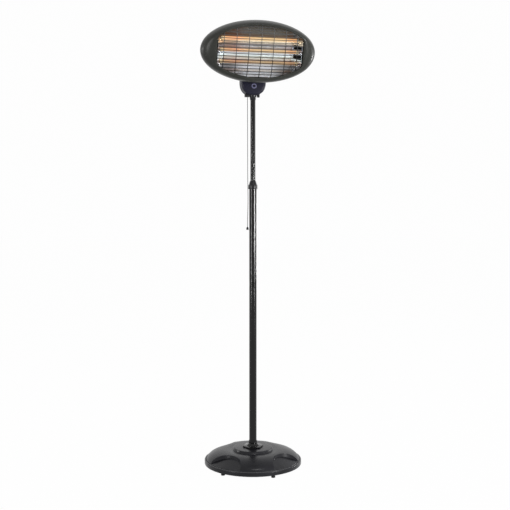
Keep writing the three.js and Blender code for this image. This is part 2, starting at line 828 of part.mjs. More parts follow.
function pullLink() {
  const top = leverHeight - leverThickness / 2 - seatGap;
  const low = lugFoot - seatGap;
  const body = turned(discProfile(linkRadius, low, top), smallSides);
  return mesh('pull_link', body.translate(-lugOffset, 0, 0), zincSteel);
}

function pullCord() {
  const path = new THREE.CatmullRomCurve3(cordRoute.map((point) => new THREE.Vector3(...point)));
  const section = new THREE.Shape();
  section.absarc(0, 0, cordRadius, 0, 2 * Math.PI);
  const body = new THREE.ExtrudeGeometry(section, {
    steps: cordSteps, extrudePath: path, curveSegments: 4, bevelEnabled: false,
  });
  return mesh('pull_cord', body, whiteCord);
}

function pullKnob() {
  const [x, y, cordEnd] = cordRoute[cordRoute.length - 1];
  const top = cordEnd - seatGap;
  const profile = [
    [0, top - knobHeight], [knobRadius - knobEase, top - knobHeight],
    [knobRadius, top - knobHeight + knobEase], [knobRadius, top - knobShoulder],
    [knobTopRadius, top], [0, top],
  ];
  return mesh('pull_knob', turned(profile, hiddenSides).translate(x, y, 0), blackPlastic);
}

// Tilt joint

function arcPoints([y, z], radius, fromDegrees, toDegrees, steps) {
  const points = [];
  for (let i = 0; i <= steps; i += 1) {
    const angle = radians(fromDegrees + (toDegrees - fromDegrees) * i / steps);
    points.push([y + radius * Math.cos(angle), z + radius * Math.sin(angle)]);
  }
  return points;
}

const yokeFoot = housingTop + seatGap;

function tiltBracket() {
  const outside = yokeHalfGap + yokeThickness;
  const depth = [pivotBack - yokeFootDepth / 2, pivotBack + yokeFootDepth / 2];
  const waist = yokeFoot + 2 * yokeFootThickness;
  const outline = [
    [depth[0], yokeFoot], [depth[1], yokeFoot], [depth[1], waist],
    ...arcPoints([pivotBack, pivotHeight], yokeRadius, -10, 190, 10), [depth[0], waist],
  ];
  const plate = block([-outside, outside], depth, [yokeFoot, yokeFoot + yokeFootThickness]);
  const hole = rodAlongX(tiltBoltRadius + runGap, -outside - 1, outside + 1, pivotBack, pivotHeight);
  const left = toSolid(plateAcrossX(outline, -outside, -yokeHalfGap));
  const right = toSolid(plateAcrossX(outline, yokeHalfGap, outside));
  const body = joined(toSolid(plate), left, right);
  return mesh('tilt_bracket', cut(body, toSolid(hole)), blackEnamel);
}

function tiltBolt() {
  const headFace = yokeHalfGap + yokeThickness + seatGap;
  const end = headFace + tiltNutThickness + boltStandOut;
  const shank = rodAlongX(tiltBoltRadius, -end, headFace + 1, pivotBack, pivotHeight);
  const head = rodAlongX(tiltHeadRadius, headFace, headFace + tiltHeadThickness, pivotBack, pivotHeight);
  return mesh('tilt_bolt', joined(toSolid(shank), toSolid(head)), zincSteel);
}

function tiltNut() {
  const face = yokeHalfGap + yokeThickness + seatGap;
  const end = face + tiltNutThickness;
  const body = rodAlongX(tiltNutRadius, -end, -face, pivotBack, pivotHeight, 6);
  const bore = rodAlongX(tiltBoltRadius + runGap, -end - 1, -face + 1, pivotBack, pivotHeight);
  return mesh('tilt_nut', cut(toSolid(body), toSolid(bore)), zincSteel);
}

function frictionWasher(name, side) {
  const outer = yokeHalfGap - seatGap;
  const ends = [side * outer, side * (outer - frictionWasherThickness)].sort((a, b) => a - b);
  const body = rodAlongX(frictionWasherRadius, ...ends, pivotBack, pivotHeight);
  const bore = rodAlongX(tiltBoltRadius + runGap, ends[0] - 1, ends[1] + 1, pivotBack, pivotHeight);
  return mesh(name, cut(toSolid(body), toSolid(bore)), blackPlastic);
}

// Head. Its pieces are drawn with the head upright and its centre at the origin, front along -Y.

const earOuter = yokeHalfGap - frictionWasherThickness - 2 * seatGap;
const earInner = earOuter - earThickness;

function ellipsoid(grow) {
  const body = new THREE.SphereGeometry(1, 32, 16);
  return toSolid(body.scale(headHalfWidth + grow, headBackDepth + grow, headHalfHeight + grow));
}

const headFar = headHalfWidth * 2;
const rearHalf = toSolid(block([-headFar, headFar], [seatGap / 2, headFar], [-headFar, headFar]));

function ventTools() {
  const tools = [];
  for (let i = 0; i < ventCount; i += 1) {
    const x = (i - (ventCount - 1) / 2) * ventPitch;
    const across = [x - ventWidth / 2, x + ventWidth / 2];
    const levels = [ventRise - ventHeight / 2, ventRise + ventHeight / 2];
    tools.push(toSolid(block(across, [headBackDepth / 2, 2 * headBackDepth], levels)));
  }
  return joined(...tools);
}

function headShell() {
  const shell = cut(ellipsoid(0), ellipsoid(-headWall)).intersect(rearHalf);
  return mesh('head_shell', cut(shell, ventTools()), oliveGrey);
}

function headHinge() {
  const pivot = [headAhead, -headRise];
  const outline = [
    [earRoot, saddleTop], [headBackDepth - sheet, saddleTop],
    ...arcPoints(pivot, earRadius, 100, -110, 10), [earRoot, saddleFoot],
  ];
  const ears = [plateAcrossX(outline, -earOuter, -earInner), plateAcrossX(outline, earInner, earOuter)];
  const window = toSolid(block([-earOuter, earOuter], [0, headAhead], [saddleFoot, saddleTop]));
  const saddle = ellipsoid(seatGap + saddleThickness).intersect(window);
  const hole = rodAlongX(tiltBoltRadius + runGap, -earOuter - 1, earOuter + 1, ...pivot);
  const body = joined(saddle, ...ears.map(toSolid));
  return mesh('head_hinge', cut(body, ellipsoid(seatGap), toSolid(hole)), blackEnamel);
}

const ringSteps = 40; // divides by four, so that the rings have points at their ends

// A ring of the bezel: `share` 0 is the head's rim and 1 is the opening's edge.
function bezelRing(share, depth, rimInset, edgeGrow) {
  const ring = [];
  for (let i = 0; i < ringSteps; i += 1) {
    const angle = 2 * Math.PI * i / ringSteps;
    const limit = openingHalfWidth + edgeGrow;
    const rimX = (headHalfWidth - rimInset) * Math.cos(angle);
    const rimZ = (headHalfHeight - rimInset) * Math.sin(angle);
    const arcX = (openingArcHalfWidth + edgeGrow) * Math.cos(angle);
    const edgeX = THREE.MathUtils.clamp(arcX, -limit, limit);
    const edgeZ = (openingHalfHeight + edgeGrow) * Math.sin(angle) + openingRise;
    ring.push(new THREE.Vector3(
      THREE.MathUtils.lerp(rimX, edgeX, share), -depth, THREE.MathUtils.lerp(rimZ, edgeZ, share),
    ));
  }
  return ring;
}

function bezelSurface(frontDepth, rimInset, edgeGrow) {
  const steps = 4;
  const rings = [];
  for (let i = 0; i <= steps; i += 1) {
    const angle = Math.PI / 2 * i / steps;
    const depth = THREE.MathUtils.lerp(seatGap / 2, frontDepth, Math.sin(angle));
    rings.push(bezelRing(1 - Math.cos(angle), depth, rimInset, edgeGrow));
  }
  return rings;
}

const lipBack = headFrontDepth - lipDepth;
const grilleFront = lipBack + grilleSeat;
const reflectorFront = lipBack - seatGap;

function headBezel() {
  const rings = [
    ...bezelSurface(headFrontDepth, 0, 0),
    bezelRing(1, lipBack, 0, 0),
    bezelRing(1, lipBack, 0, headWall),
    ...bezelSurface(headFrontDepth - headWall, headWall, headWall).reverse(),
  ];
  return mesh('head_bezel', skin(rings, false), oliveGrey);
}

// The room inside the head, a seating gap clear of its walls.
function headRoom() {
  const inset = headWall + seatGap;
  const front = skin(bezelSurface(headFrontDepth - inset, inset, inset), true);
  const bridge = skin([bezelRing(0, 1, inset, 0), bezelRing(0, -1, inset, 0)], true);
  return joined(toSolid(front), ellipsoid(-inset).intersect(rearHalf), toSolid(bridge));
}

const room = headRoom();

// Everything behind the grille is centred on the opening.
function centredOnOpening(geometry) {
  return toSolid(geometry.translate(0, 0, openingRise));
}

// The space between the reflector's two slanted ends, made wider by `shift` at each.
function endSlope(halfHeight, shift) {
  const back = reflectorBackHalfWidth + shift;
  const front = reflectorHalfWidth + shift;
  const shape = new THREE.Shape([
    new THREE.Vector2(-back, 4 * sheet), new THREE.Vector2(-back, 0),
    new THREE.Vector2(-front, -reflectorFront), new THREE.Vector2(front, -reflectorFront),
    new THREE.Vector2(back, 0), new THREE.Vector2(back, 4 * sheet),
  ]);
  const body = new THREE.ExtrudeGeometry(shape, { depth: 2 * halfHeight, bevelEnabled: false });
  return body.translate(0, 0, -halfHeight);
}

function reflector() {
  const ridge = tubePitch / 2;
  const upper = [
    [0, 0], [0, troughFlat], [-troughRidge, ridge], [0, tubePitch - troughFlat],
    [0, tubePitch + troughFlat], [-troughRidge / 2, troughHalfHeight], [-reflectorFront, reflectorLip],
  ];
  const lower = upper.slice(1).reverse().map(([y, z]) => [y, -z]);
  const face = [...lower, ...upper];
  const outline = [...face, ...face.map(([y, z]) => [y + sheet, z]).reverse()];
  const body = plateAcrossX(outline, -reflectorHalfWidth, reflectorHalfWidth);
  const trimmed = centredOnOpening(body).intersect(centredOnOpening(endSlope(reflectorLip + 1, 0)));
  return mesh('reflector', trimmed.intersect(room), polishedAluminium);
}

function tubeHeight(number) {
  return openingRise + (tubeCount + 1 - 2 * number) / 2 * tubePitch;
}

function ceramicHoles() {
  const far = ceramicEnd + 5;
  const rods = [];
  for (let number = 1; number <= tubeCount; number += 1) {
    const body = rodAlongX(ceramicRadius + seatGap, -far, far, -tubeDepth, tubeHeight(number));
    rods.push(toSolid(body));
  }
  return joined(...rods);
}

function windowTools() {
  const tools = [];
  const middle = (reflectorHalfWidth + reflectorBackHalfWidth) / 2;
  for (const x of [-middle, middle]) {
    for (let gap = 1; gap < tubeCount; gap += 1) {
      const z = (tubeHeight(gap) + tubeHeight(gap + 1)) / 2;
      const levels = [z - windowHeight / 2, z + windowHeight / 2];
      const across = [x - windowWidth / 2, x + windowWidth / 2];
      const depth = [-tubeDepth - windowWidth / 2, -tubeDepth + windowWidth / 2];
      tools.push(toSolid(block(across, depth, levels)));
    }
  }
  return joined(...tools);
}

function tubeBracket(name, side) {
  const outside = centredOnOpening(endSlope(reflectorLip, seatGap + bracketSheet));
  const inside = centredOnOpening(endSlope(reflectorLip + 1, seatGap));
  const ends = [side * reflectorBackHalfWidth, side * headFar].sort((a, b) => a - b);
  const keep = toSolid(block(ends, [-reflectorFront, 0], [-headFar, headFar]));
  const sheetMetal = cut(outside.intersect(keep), inside).intersect(room);
  return mesh(name, cut(sheetMetal, ceramicHoles(), windowTools()), zincSteel);
}

function heatShield() {
  const face = sheet + seatGap;
  const across = [-shieldHalfWidth, shieldHalfWidth];
  const body = block(across, [face, face + sheet], [-shieldHalfHeight, shieldHalfHeight]);
  return mesh('heat_shield', centredOnOpening(body), zincSteel);
}

function terminalBlock() {
  const back = 2 * (sheet + seatGap);
  const [left, right] = [terminalMiddle - terminalWidth / 2, terminalMiddle + terminalWidth / 2];
  const half = terminalHeight / 2;
  const body = toSolid(block([left, right], [back, back + terminalDepth], [-half, half]));
  const ridge = [back + terminalDepth - 1, back + terminalDepth + barrierRise];
  const barrier = toSolid(block([left + 2, right - 2], ridge, [-barrierWidth / 2, barrierWidth / 2]));
  return mesh('terminal_block', joined(body, barrier), ceramic);
}

function quartzTube(number) {
  const inner = tubeRadius - tubeWall;
  const profile = ringProfile(inner, tubeRadius, -tubeHalfLength, tubeHalfLength);
  const body = turned(profile, hiddenSides).rotateY(Math.PI / 2);
  return mesh(`quartz_tube_${number}`, body.translate(0, -tubeDepth, tubeHeight(number)), quartz);
}

function tubeCap(number, side) {
  const seat = tubeHalfLength + seatGap;
  const profile = [
    [tubeRadius + runGap, ceramicStart], [ceramicRadius, ceramicStart], [ceramicRadius, ceramicEnd],
    [ceramicBore, ceramicEnd], [ceramicBore, seat], [tubeRadius + runGap, seat],
  ];
  const word = side < 0 ? 'left' : 'right';
  const body = turned(profile, smallSides).rotateY(side * Math.PI / 2);
  const place = [0, -tubeDepth, tubeHeight(number)];
  return mesh(`tube_cap_${number}_${word}`, body.translate(...place), ceramic);
}

// The centre line of a heating coil along X: a straight lead, a run out to the coil's radius,
// the turns, and the same back.
function coilLine() {
  const points = [];
  const bodyHalf = coilHalfLength - 2 * coilLead;
  points.push(new THREE.Vector3(-coilHalfLength, 0, 0));
  points.push(new THREE.Vector3(-coilHalfLength + coilLead, 0, 0));
  const count = coilTurns * coilSteps;
  for (let i = 0; i <= count; i += 1) {
    const angle = 2 * Math.PI * i / coilSteps;
    const x = THREE.MathUtils.lerp(-bodyHalf, bodyHalf, i / count);
    points.push(new THREE.Vector3(x, coilRadius * Math.cos(angle), coilRadius * Math.sin(angle)));
  }
  points.push(new THREE.Vector3(coilHalfLength - coilLead, 0, 0));
  points.push(new THREE.Vector3(coilHalfLength, 0, 0));
  return points;
}

function coilRings(points) {
  let sideways = new THREE.Vector3(0, 1, 0);
  return points.map((point, i) => {
    const before = points[Math.max(i - 1, 0)];
    const after = points[Math.min(i + 1, points.length - 1)];
    const along = after.clone().sub(before).normalize();
    if (i === 0 || i === points.length - 1) along.set(1, 0, 0);
    sideways = sideways.clone().addScaledVector(along, -sideways.dot(along)).normalize();
    const upward = along.clone().cross(sideways);
    const ring = [];
    for (let side = 0; side < coilSides; side += 1) {
      const angle = 2 * Math.PI * side / coilSides;
      const corner = point.clone().addScaledVector(sideways, coilWireRadius * Math.cos(angle));
      ring.push(corner.addScaledVector(upward, coilWireRadius * Math.sin(angle)));
    }
    return ring;
  });
}

// The least space between turns, from centre-line points at least half a turn apart.
function leastGap(points) {
  let least = Infinity;
  for (let i = 0; i < points.length; i += 1) {
    for (let j = i + coilSteps / 2; j < points.length; j += 1) {
      least = Math.min(least, points[i].distanceTo(points[j]) - 2 * coilWireRadius);
    }
  }
  return least;
}

const coilPoints = coilLine();
console.log(`Least gap of a heating coil to itself: ${leastGap(coilPoints).toFixed(2)} mm`);

function heatingCoil(number) {
  const body = skin(coilRings(coilPoints), true);
  return mesh(`heating_coil_${number}`, body.translate(0, -tubeDepth, tubeHeight(number)), glowingWire);
}

// Grille: a bowed net whose wires are strips of one grid. Their ends meet the inner side of the lip.

// The net is flat round the opening's edge and stands furthest out in the middle.
function bowedDepth(x, z) {
  const edgeZ = openingHalfHeight * Math.sqrt(Math.max(1 - (x / openingArcHalfWidth) ** 2, 0.01));
  const share = Math.max(1 - (x / openingHalfWidth) ** 2, 0) * Math.max(1 - (z / edgeZ) ** 2, 0);
  return grilleFront + grilleBow * share ** bowPower;
}

function strips(count, pitch, radius) {
  const middle = (count - 1) / 2;
  const places = [-middle * pitch - pitch];
  for (let i = 0; i < count; i += 1) {
    places.push((i - middle) * pitch - radius, (i - middle) * pitch + radius);
  }
  places.push(middle * pitch + pitch);
  return places;
}

function net() {
  const xs = strips(ribCount, ribPitch, ribRadius);
  const zs = strips(wireCount, wirePitch, wireRadius);
  const layer = xs.length * zs.length;
  const positions = [];
  for (const back of [0, 2 * wireRadius]) {
    for (const x of xs) {
      for (const z of zs) positions.push(x, -bowedDepth(x, z) + back, z);
    }
  }
  const at = (i, j, level) => level * layer + i * zs.length + j;
  const solidCell = (i, j) => i >= 0 && j >= 0 && i < xs.length - 1 && j < zs.length - 1
    && (i % 2 === 1 || j % 2 === 1);
  const index = [];
  const quad = (a, b, c, d) => index.push(a, b, c, a, c, d);
  for (let i = 0; i < xs.length - 1; i += 1) {
    for (let j = 0; j < zs.length - 1; j += 1) {
      if (!solidCell(i, j)) continue;
      // The cell's corners in order round it, in front and behind
      const front = [at(i, j, 0), at(i + 1, j, 0), at(i + 1, j + 1, 0), at(i, j + 1, 0)];
      const back = front.map((corner) => corner + layer);
      const beside = [solidCell(i, j - 1), solidCell(i + 1, j), solidCell(i, j + 1), solidCell(i - 1, j)];
      quad(...front);
      quad(...back.slice().reverse());
      for (let side = 0; side < 4; side += 1) {
        const next = (side + 1) % 4;
        if (!beside[side]) quad(front[next], front[side], back[side], back[next]);
      }
    }
  }
  const geometry = new THREE.BufferGeometry();
  geometry.setAttribute('position', new THREE.Float32BufferAttribute(positions, 3));
  geometry.setIndex(index);
  return toSolid(geometry.translate(0, 0, openingRise));
}

function grille() {
  const near = bezelRing(1, 0, 0, -seatGap);
  const far = bezelRing(1, headFrontDepth * 2, 0, -seatGap);
  return mesh('grille', net().intersect(toSolid(skin([near, far], true))), wireSteel);
}

// Assembly

function baseGroup() {
  const group = new THREE.Group();
  group.add(baseCover(), baseWeight(), basePlate());
  for (let number = 1; number <= footCount; number += 1) group.add(foot(number));
  group.add(footFlange(), baseBolt(), baseWasher(), polePlug(), poleCoupler());
  group.add(poleSection('lower_pole_bottom', poleFoot, seamHeight - seatGap));
  group.add(poleSection('lower_pole_top', ringTop + seatGap, poleTop));
  group.add(collarBody(), collarCollet(), collarNut());
  return group;
}

function mastGroup() {
  const group = new THREE.Group();
  group.add(glideBush(), upperPole(), mastEndPlug(), neck(), ...housingHalves(), screwCapRing());
  group.add(housingScrew('housing_screw_left', -1), housingScrew('housing_screw_right', 1));
  group.add(cordOutlet(), cableGland(), switchBody(), switchLever());
  group.add(pullLink(), pullCord(), pullKnob());
  group.add(tiltBracket(), tiltBolt(), tiltNut());
  group.add(frictionWasher('friction_washer_left', -1), frictionWasher('friction_washer_right', 1));
  return group;
}

function headGroup() {
  const head = new THREE.Group();
  head.add(headShell(), headBezel(), headHinge(), grille(), reflector(), heatShield(), terminalBlock());
  head.add(tubeBracket('tube_bracket_left', -1), tubeBracket('tube_bracket_right', 1));
  for (let number = 1; number <= tubeCount; number += 1) {
    head.add(quartzTube(number), heatingCoil(number), tubeCap(number, -1), tubeCap(number, 1));
  }
  head.position.set(0, -headAhead, headRise);
  const tilting = new THREE.Group();
  tilting.add(head);
  tilting.position.set(0, pivotBack, pivotHeight);
  tilting.rotation.x = radians(headTilt);
  return tilting;
}

const heater = new THREE.Group();
heater.add(baseGroup(), mastGroup(), headGroup());

export default heater;
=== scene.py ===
# The looks of an infrared patio heater tower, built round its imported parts.
# Lengths in the settings are millimetres unless a note says otherwise.

import json
import math

import bmesh
import bpy
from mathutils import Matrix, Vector


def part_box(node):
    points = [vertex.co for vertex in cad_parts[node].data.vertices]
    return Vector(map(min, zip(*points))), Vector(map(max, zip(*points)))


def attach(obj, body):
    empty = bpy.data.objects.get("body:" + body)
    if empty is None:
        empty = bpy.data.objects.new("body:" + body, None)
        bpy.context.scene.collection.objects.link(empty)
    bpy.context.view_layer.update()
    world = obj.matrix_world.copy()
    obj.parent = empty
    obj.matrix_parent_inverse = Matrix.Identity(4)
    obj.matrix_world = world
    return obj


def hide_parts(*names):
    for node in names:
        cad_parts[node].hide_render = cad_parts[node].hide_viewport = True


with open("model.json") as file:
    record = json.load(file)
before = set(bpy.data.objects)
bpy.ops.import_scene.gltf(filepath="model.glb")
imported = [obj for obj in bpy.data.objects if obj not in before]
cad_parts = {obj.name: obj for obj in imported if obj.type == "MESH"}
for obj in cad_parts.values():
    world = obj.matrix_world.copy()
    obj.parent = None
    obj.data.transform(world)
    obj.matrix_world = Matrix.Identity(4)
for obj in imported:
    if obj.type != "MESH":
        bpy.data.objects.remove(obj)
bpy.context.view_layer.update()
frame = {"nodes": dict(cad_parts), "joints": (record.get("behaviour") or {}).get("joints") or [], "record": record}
mm = 0.001
bpy.ops.object.select_all(action="DESELECT")
print("frame loaded:", len(frame["nodes"]), "nodes")


# Shader nodes


# A new node. Each of its inputs is set to a value, or linked where it is given another node's output.
def addNode(tree, kind, inputs=(), **settings):
    node = tree.nodes.new("ShaderNode" + kind)
    for setting, value in settings.items():
        setattr(node, setting, value)
    for socket, value in dict(inputs).items():
        if isinstance(value, bpy.types.NodeSocket):
            tree.links.new(value, node.inputs[socket])
        else:
            node.inputs[socket].default_value = value
    return node


def mathNode(tree, operation, *values):
    return addNode(tree, "Math", dict(enumerate(values)), operation=operation).outputs[0]


def mapRange(tree, value, span, onto=(0, 1), **settings):
    inputs = {"Value": value, "From Min": span[0], "From Max": span[1], "To Min": onto[0], "To Max": onto[1]}
    return addNode(tree, "MapRange", inputs, **settings).outputs[0]


def objectPlace(tree):
    return addNode(tree, "TexCoord").outputs["Object"]


def placeAlong(tree, axis):
    return addNode(tree, "SeparateXYZ", {"Vector": objectPlace(tree)}).outputs[axis]


def objectNoise(tree, scale, detail=2.0, stretch=(1, 1, 1)):
    mapped = addNode(tree, "Mapping", {"Vector": objectPlace(tree), "Scale": stretch}).outputs["Vector"]
    return addNode(tree, "TexNoise", {"Vector": mapped, "Scale": scale, "Detail": detail}).outputs["Fac"]


def colorRamp(tree, value, stops):
    ramp = addNode(tree, "ValToRGB", {"Fac": value})
    elements = ramp.color_ramp.elements
    elements[0].position, elements[-1].position = stops[0][0], stops[-1][0]
    for place, color in stops[1:-1]:
        elements.new(place)
    for element, (place, color) in zip(elements, stops):
        element.color = (*color, 1)
    return ramp.outputs["Color"]


# 1 for the rays of the camera, of gloss and of glass, and 0 for the rays that light things
def shownRays(tree):
    path = addNode(tree, "LightPath").outputs
    seen = mathNode(tree, "MAXIMUM", path["Is Camera Ray"], path["Is Glossy Ray"])
    return mathNode(tree, "MAXIMUM", seen, path["Is Transmission Ray"])


# Camera, light and floor

cameraLook = {
    "azimuth": -12.0,  # degrees to the left of the heater's front
    "distance": 3650,
    "eyeHeight": 1107,
    "lens": 59.3,
    "frameWidth": 510,  # pixels
    "horizonRow": 211,
    "poleColumn": 252.9,
}


def makeCamera(look):
    pixelsPerUnit = look["lens"] / 36 * look["frameWidth"]
    middle = look["frameWidth"] / 2
    turn = math.radians(look["azimuth"])
    aside = math.atan((middle - look["poleColumn"]) / pixelsPerUnit)
    reach = look["distance"] * mm
    place = (math.sin(turn) * reach, -math.cos(turn) * reach, look["eyeHeight"] * mm)
    bpy.ops.object.camera_add(location=place, rotation=(math.pi / 2, 0, turn - aside))
    camera = bpy.context.object
    camera.name = "photoCamera"
    camera.data.lens = look["lens"]
    camera.data.sensor_width = 36
    camera.data.shift_y = (look["horizonRow"] - middle) / look["frameWidth"]
    bpy.context.scene.camera = camera


makeCamera(cameraLook)

# azimuth and height of each lamp's middle, its distance from the pole, its width, its own height, and its watts
lampLook = {
    "rightStrip": (38.5, 1110, 6000, 300, 1020, 260),
    "rightLow": (38.5, 340, 6000, 300, 520, 26),
    "rightBox": (62, 2300, 3500, 700, 1600, 7),
    "rimStrip": (105, 780, 6000, 260, 900, 85),
    "leftStrip": (-61, 1150, 6000, 300, 2100, 120),
    "topStrip": (4, 5200, 3000, 1500, 300, 35),
    "leftFill": (-112, 1850, 4000, 700, 700, 22),
    "rightFill": (100, 1750, 4000, 1600, 900, 11),
}


def makeLamp(name, azimuth, height, distance, width, tall, watts):
    turn, reach = math.radians(azimuth), distance * mm
    place = Vector((math.sin(turn) * reach, -math.cos(turn) * reach, height * mm))
    aim = Vector((0, 0, 1.2)) - place
    bpy.ops.object.light_add(type="AREA", location=place, rotation=aim.to_track_quat("-Z", "Y").to_euler())
    lamp = bpy.context.object
    lamp.name = name
    lamp.data.shape = "RECTANGLE"
    lamp.data.size = width * mm
    lamp.data.size_y = tall * mm
    lamp.data.energy = watts


for lampName, lampSettings in lampLook.items():
    makeLamp(lampName, *lampSettings)

worldLook = {"shown": 0.988, "ambient": 0.36}


def makeWorld(look):
    world = bpy.data.worlds.new("paleStudio")
    bpy.context.scene.world = world
    world.use_nodes = True
    tree = world.node_tree
    background = tree.nodes["Background"]
    background.inputs["Color"].default_value = (1, 1, 1, 1)
    strength = mapRange(tree, shownRays(tree), (0, 1), (look["ambient"], look["shown"]))
    tree.links.new(strength, background.inputs["Strength"])


makeWorld(worldLook)
bpy.context.scene.view_settings.view_transform = "Standard"
print("camera, lamps and world placed")


# Where the head is. Its pieces are shaped upright about its own centre, and then tilted into place.

tiltJoint = next(joint for joint in frame["joints"] if joint["name"] == "head_tilt")
pivot = Vector(tiltJoint["pos_m"]) / mm
headLook = {"tilt": 20, "ahead": 85, "rise": 97.5, "halfWidth": 247, "halfHeight": 131, "backDepth": 50,
            "frontDepth": 55, "wall": 2, "seam": 0.15}
openingLook = {"halfWidth": 183.5, "arcHalfWidth": 213, "halfHeight": 108, "rise": 6.5, "lip": 7.7, "round": 3.2}


def headCentre():
    tilt = math.radians(headLook["tilt"])
    ahead, rise = headLook["ahead"], headLook["rise"]
    down = Vector((0, -ahead * math.cos(tilt) - rise * math.sin(tilt), rise * math.cos(tilt) - ahead * math.sin(tilt)))
    return pivot + down


# Materials


def newMaterial(name, color, roughness, metallic=0.0, specular=0.5):
    material = bpy.data.materials.new(name)
    material.use_nodes = True
    tree = material.node_tree
    shader = tree.nodes["Principled BSDF"]
    inputs = {"Base Color": (*color, 1), "Roughness": roughness, "Metallic": metallic, "Specular IOR Level": specular}
    for socket, value in inputs.items():
        shader.inputs[socket].default_value = value
    return material, tree, shader


def addBump(tree, shader, height, strength, distance):
    bump = addNode(tree, "Bump", {"Strength": strength, "Distance": distance * mm, "Height": height})
    tree.links.new(bump.outputs["Normal"], shader.inputs["Normal"])


def varyRoughness(tree, shader, value, low, high):
    tree.links.new(mapRange(tree, value, (0.3, 0.7), (low, high)), shader.inputs["Roughness"])


def varyColor(tree, shader, value, dark, light, low=0.35, high=0.65):
    color = colorRamp(tree, value, [(low, dark), (high, light)])
    tree.links.new(color, shader.inputs["Base Color"])
    return color


# The finishes that differ only in their numbers. Base is colour, roughness, metal and specular, grain and cloud are a
# noise's scale, detail and stretch, bump is strength and depth, rough the least and the most roughness, and tints the
# darkest and the lightest colour.
def plasticLook(name, color, roughness, scale, specular=0.4):
    lighter = tuple(channel * 1.25 + 0.002 for channel in color)
    return {"name": name, "base": (color, roughness, 0.0, specular), "grain": (scale, 3.0), "bump": (0.2, 0.1),
            "rough": (roughness - 0.06, roughness + 0.08), "tints": (color, lighter)}


finishLook = {
    "black_enamel": {
        "name": "blackEnamel", "base": ((0.002, 0.002, 0.002), 0.1, 0.0, 0.27), "grain": (420, 1.0),
        "bump": (0.02, 0.03), "cloud": (14, 3.0, (1, 1, 0.3)), "rough": (0.08, 0.13),
    },
    "charcoal_cover": {
        "name": "charcoalCover", "base": ((0.008, 0.008, 0.01), 0.26, 0.0, 0.2), "grain": (900, 2.0),
        "bump": (0.06, 0.08), "cloud": (9, 3.0), "rough": (0.23, 0.33),
        "tints": ((0.007, 0.007, 0.009), (0.011, 0.011, 0.014)),
    },
    "olive_grey_aluminium": {
        "name": "oliveGreyPaint", "base": ((0.022, 0.023, 0.02), 0.3, 0.0, 0.18), "grain": (700, 3.0),
        "bump": (0.1, 0.15), "cloud": (11, 3.0), "rough": (0.27, 0.36),
        "tints": ((0.019, 0.02, 0.017), (0.026, 0.027, 0.024)),
    },
    "navy_plastic": plasticLook("navyPlastic", (0.009, 0.009, 0.018), 0.38, 1100, 0.13),
    "black_plastic": plasticLook("blackPlastic", (0.005, 0.005, 0.006), 0.28, 1300, 0.25),
    "pale_plastic": plasticLook("palePlastic", (0.1, 0.098, 0.17), 0.35, 900),
    "cast_concrete": {
        "name": "castConcrete", "base": ((0.26, 0.25, 0.23), 0.92), "grain": (160, 6.0), "bump": (0.5, 0.8),
        "tints": ((0.2, 0.19, 0.175), (0.34, 0.33, 0.3)),
    },
    "zinc_steel": {
        "name": "zincPlate", "base": ((0.5, 0.51, 0.53), 0.34, 1.0), "grain": (240, 2.0), "bump": (0.06, 0.2),
        "rough": (0.26, 0.46), "tints": ((0.42, 0.43, 0.45), (0.58, 0.59, 0.61)),
    },
    "wire_steel": {
        "name": "wireSteel", "base": ((0.05, 0.05, 0.05), 0.36, 0.5, 0.3), "grain": (500, 2.0), "rough": (0.28, 0.42),
    },
    "foot_rubber": {
        "name": "blackRubber", "base": ((0.012, 0.012, 0.012), 0.75, 0.0, 0.3), "grain": (600, 3.0),
        "bump": (0.3, 0.3), "rough": (0.65, 0.85),
    },
    "tube_ceramic": {
        "name": "beigeCeramic", "base": ((0.7, 0.55, 0.33), 0.66, 0.0, 0.2), "grain": (700, 4.0), "bump": (0.15, 0.2),
        "tints": ((0.62, 0.48, 0.28), (0.76, 0.61, 0.38)),
    },
}


def grainedMaterial(look):
    material, tree, shader = newMaterial(look["name"], *look["base"])
    grain = objectNoise(tree, *look["grain"])
    cloud = objectNoise(tree, *look["cloud"]) if "cloud" in look else grain
    if "bump" in look:
        addBump(tree, shader, grain, *look["bump"])
    if "rough" in look:
        varyRoughness(tree, shader, cloud, *look["rough"])
    if "tints" in look:
        varyColor(tree, shader, cloud, *look["tints"])
    return material


coverLook = {
    "sides": 160, "foot": 17, "radius": 209, "wall": 2.2, "rim": 34.5, "beadRadius": 3.4, "groove": 32.6,
    "domeEdge": (201, 35.2), "plateauFoot": (90, 74), "plateau": (84, 84), "bulge": 17, "power": 0.72,
    "scoops": 4, "firstScoop": 39, "scoopCentre": 223, "scoopRadius": 90, "scoopSlope": 0.37,
    # the painted highlight on the bead's top: its heights from the rim's height, and its paler colour
    "beadHighlightHeights": (-1.3, -0.2, 0.2), "beadHighlightTint": (0.09, 0.09, 0.095),  # round the bead's top, from the rim's height
}


# The bead's top is painted paler: a painted highlight along the rim's bead
def paintBeadHighlight(material, look):
    tree = material.node_tree
    baseColor = tree.nodes["Principled BSDF"].inputs["Base Color"]
    start, full, end = [(look["rim"] + step) * mm for step in look["beadHighlightHeights"]]
    height = placeAlong(tree, "Z")
    below = mathNode(tree, "LESS_THAN", height, end)
    share = mathNode(tree, "MULTIPLY", mapRange(tree, height, (start, full)), below)
    colors = {"Fac": share, "Color1": baseColor.links[0].from_socket, "Color2": (*look["beadHighlightTint"], 1)}
    tree.links.new(addNode(tree, "MixRGB", colors).outputs["Color"], baseColor)
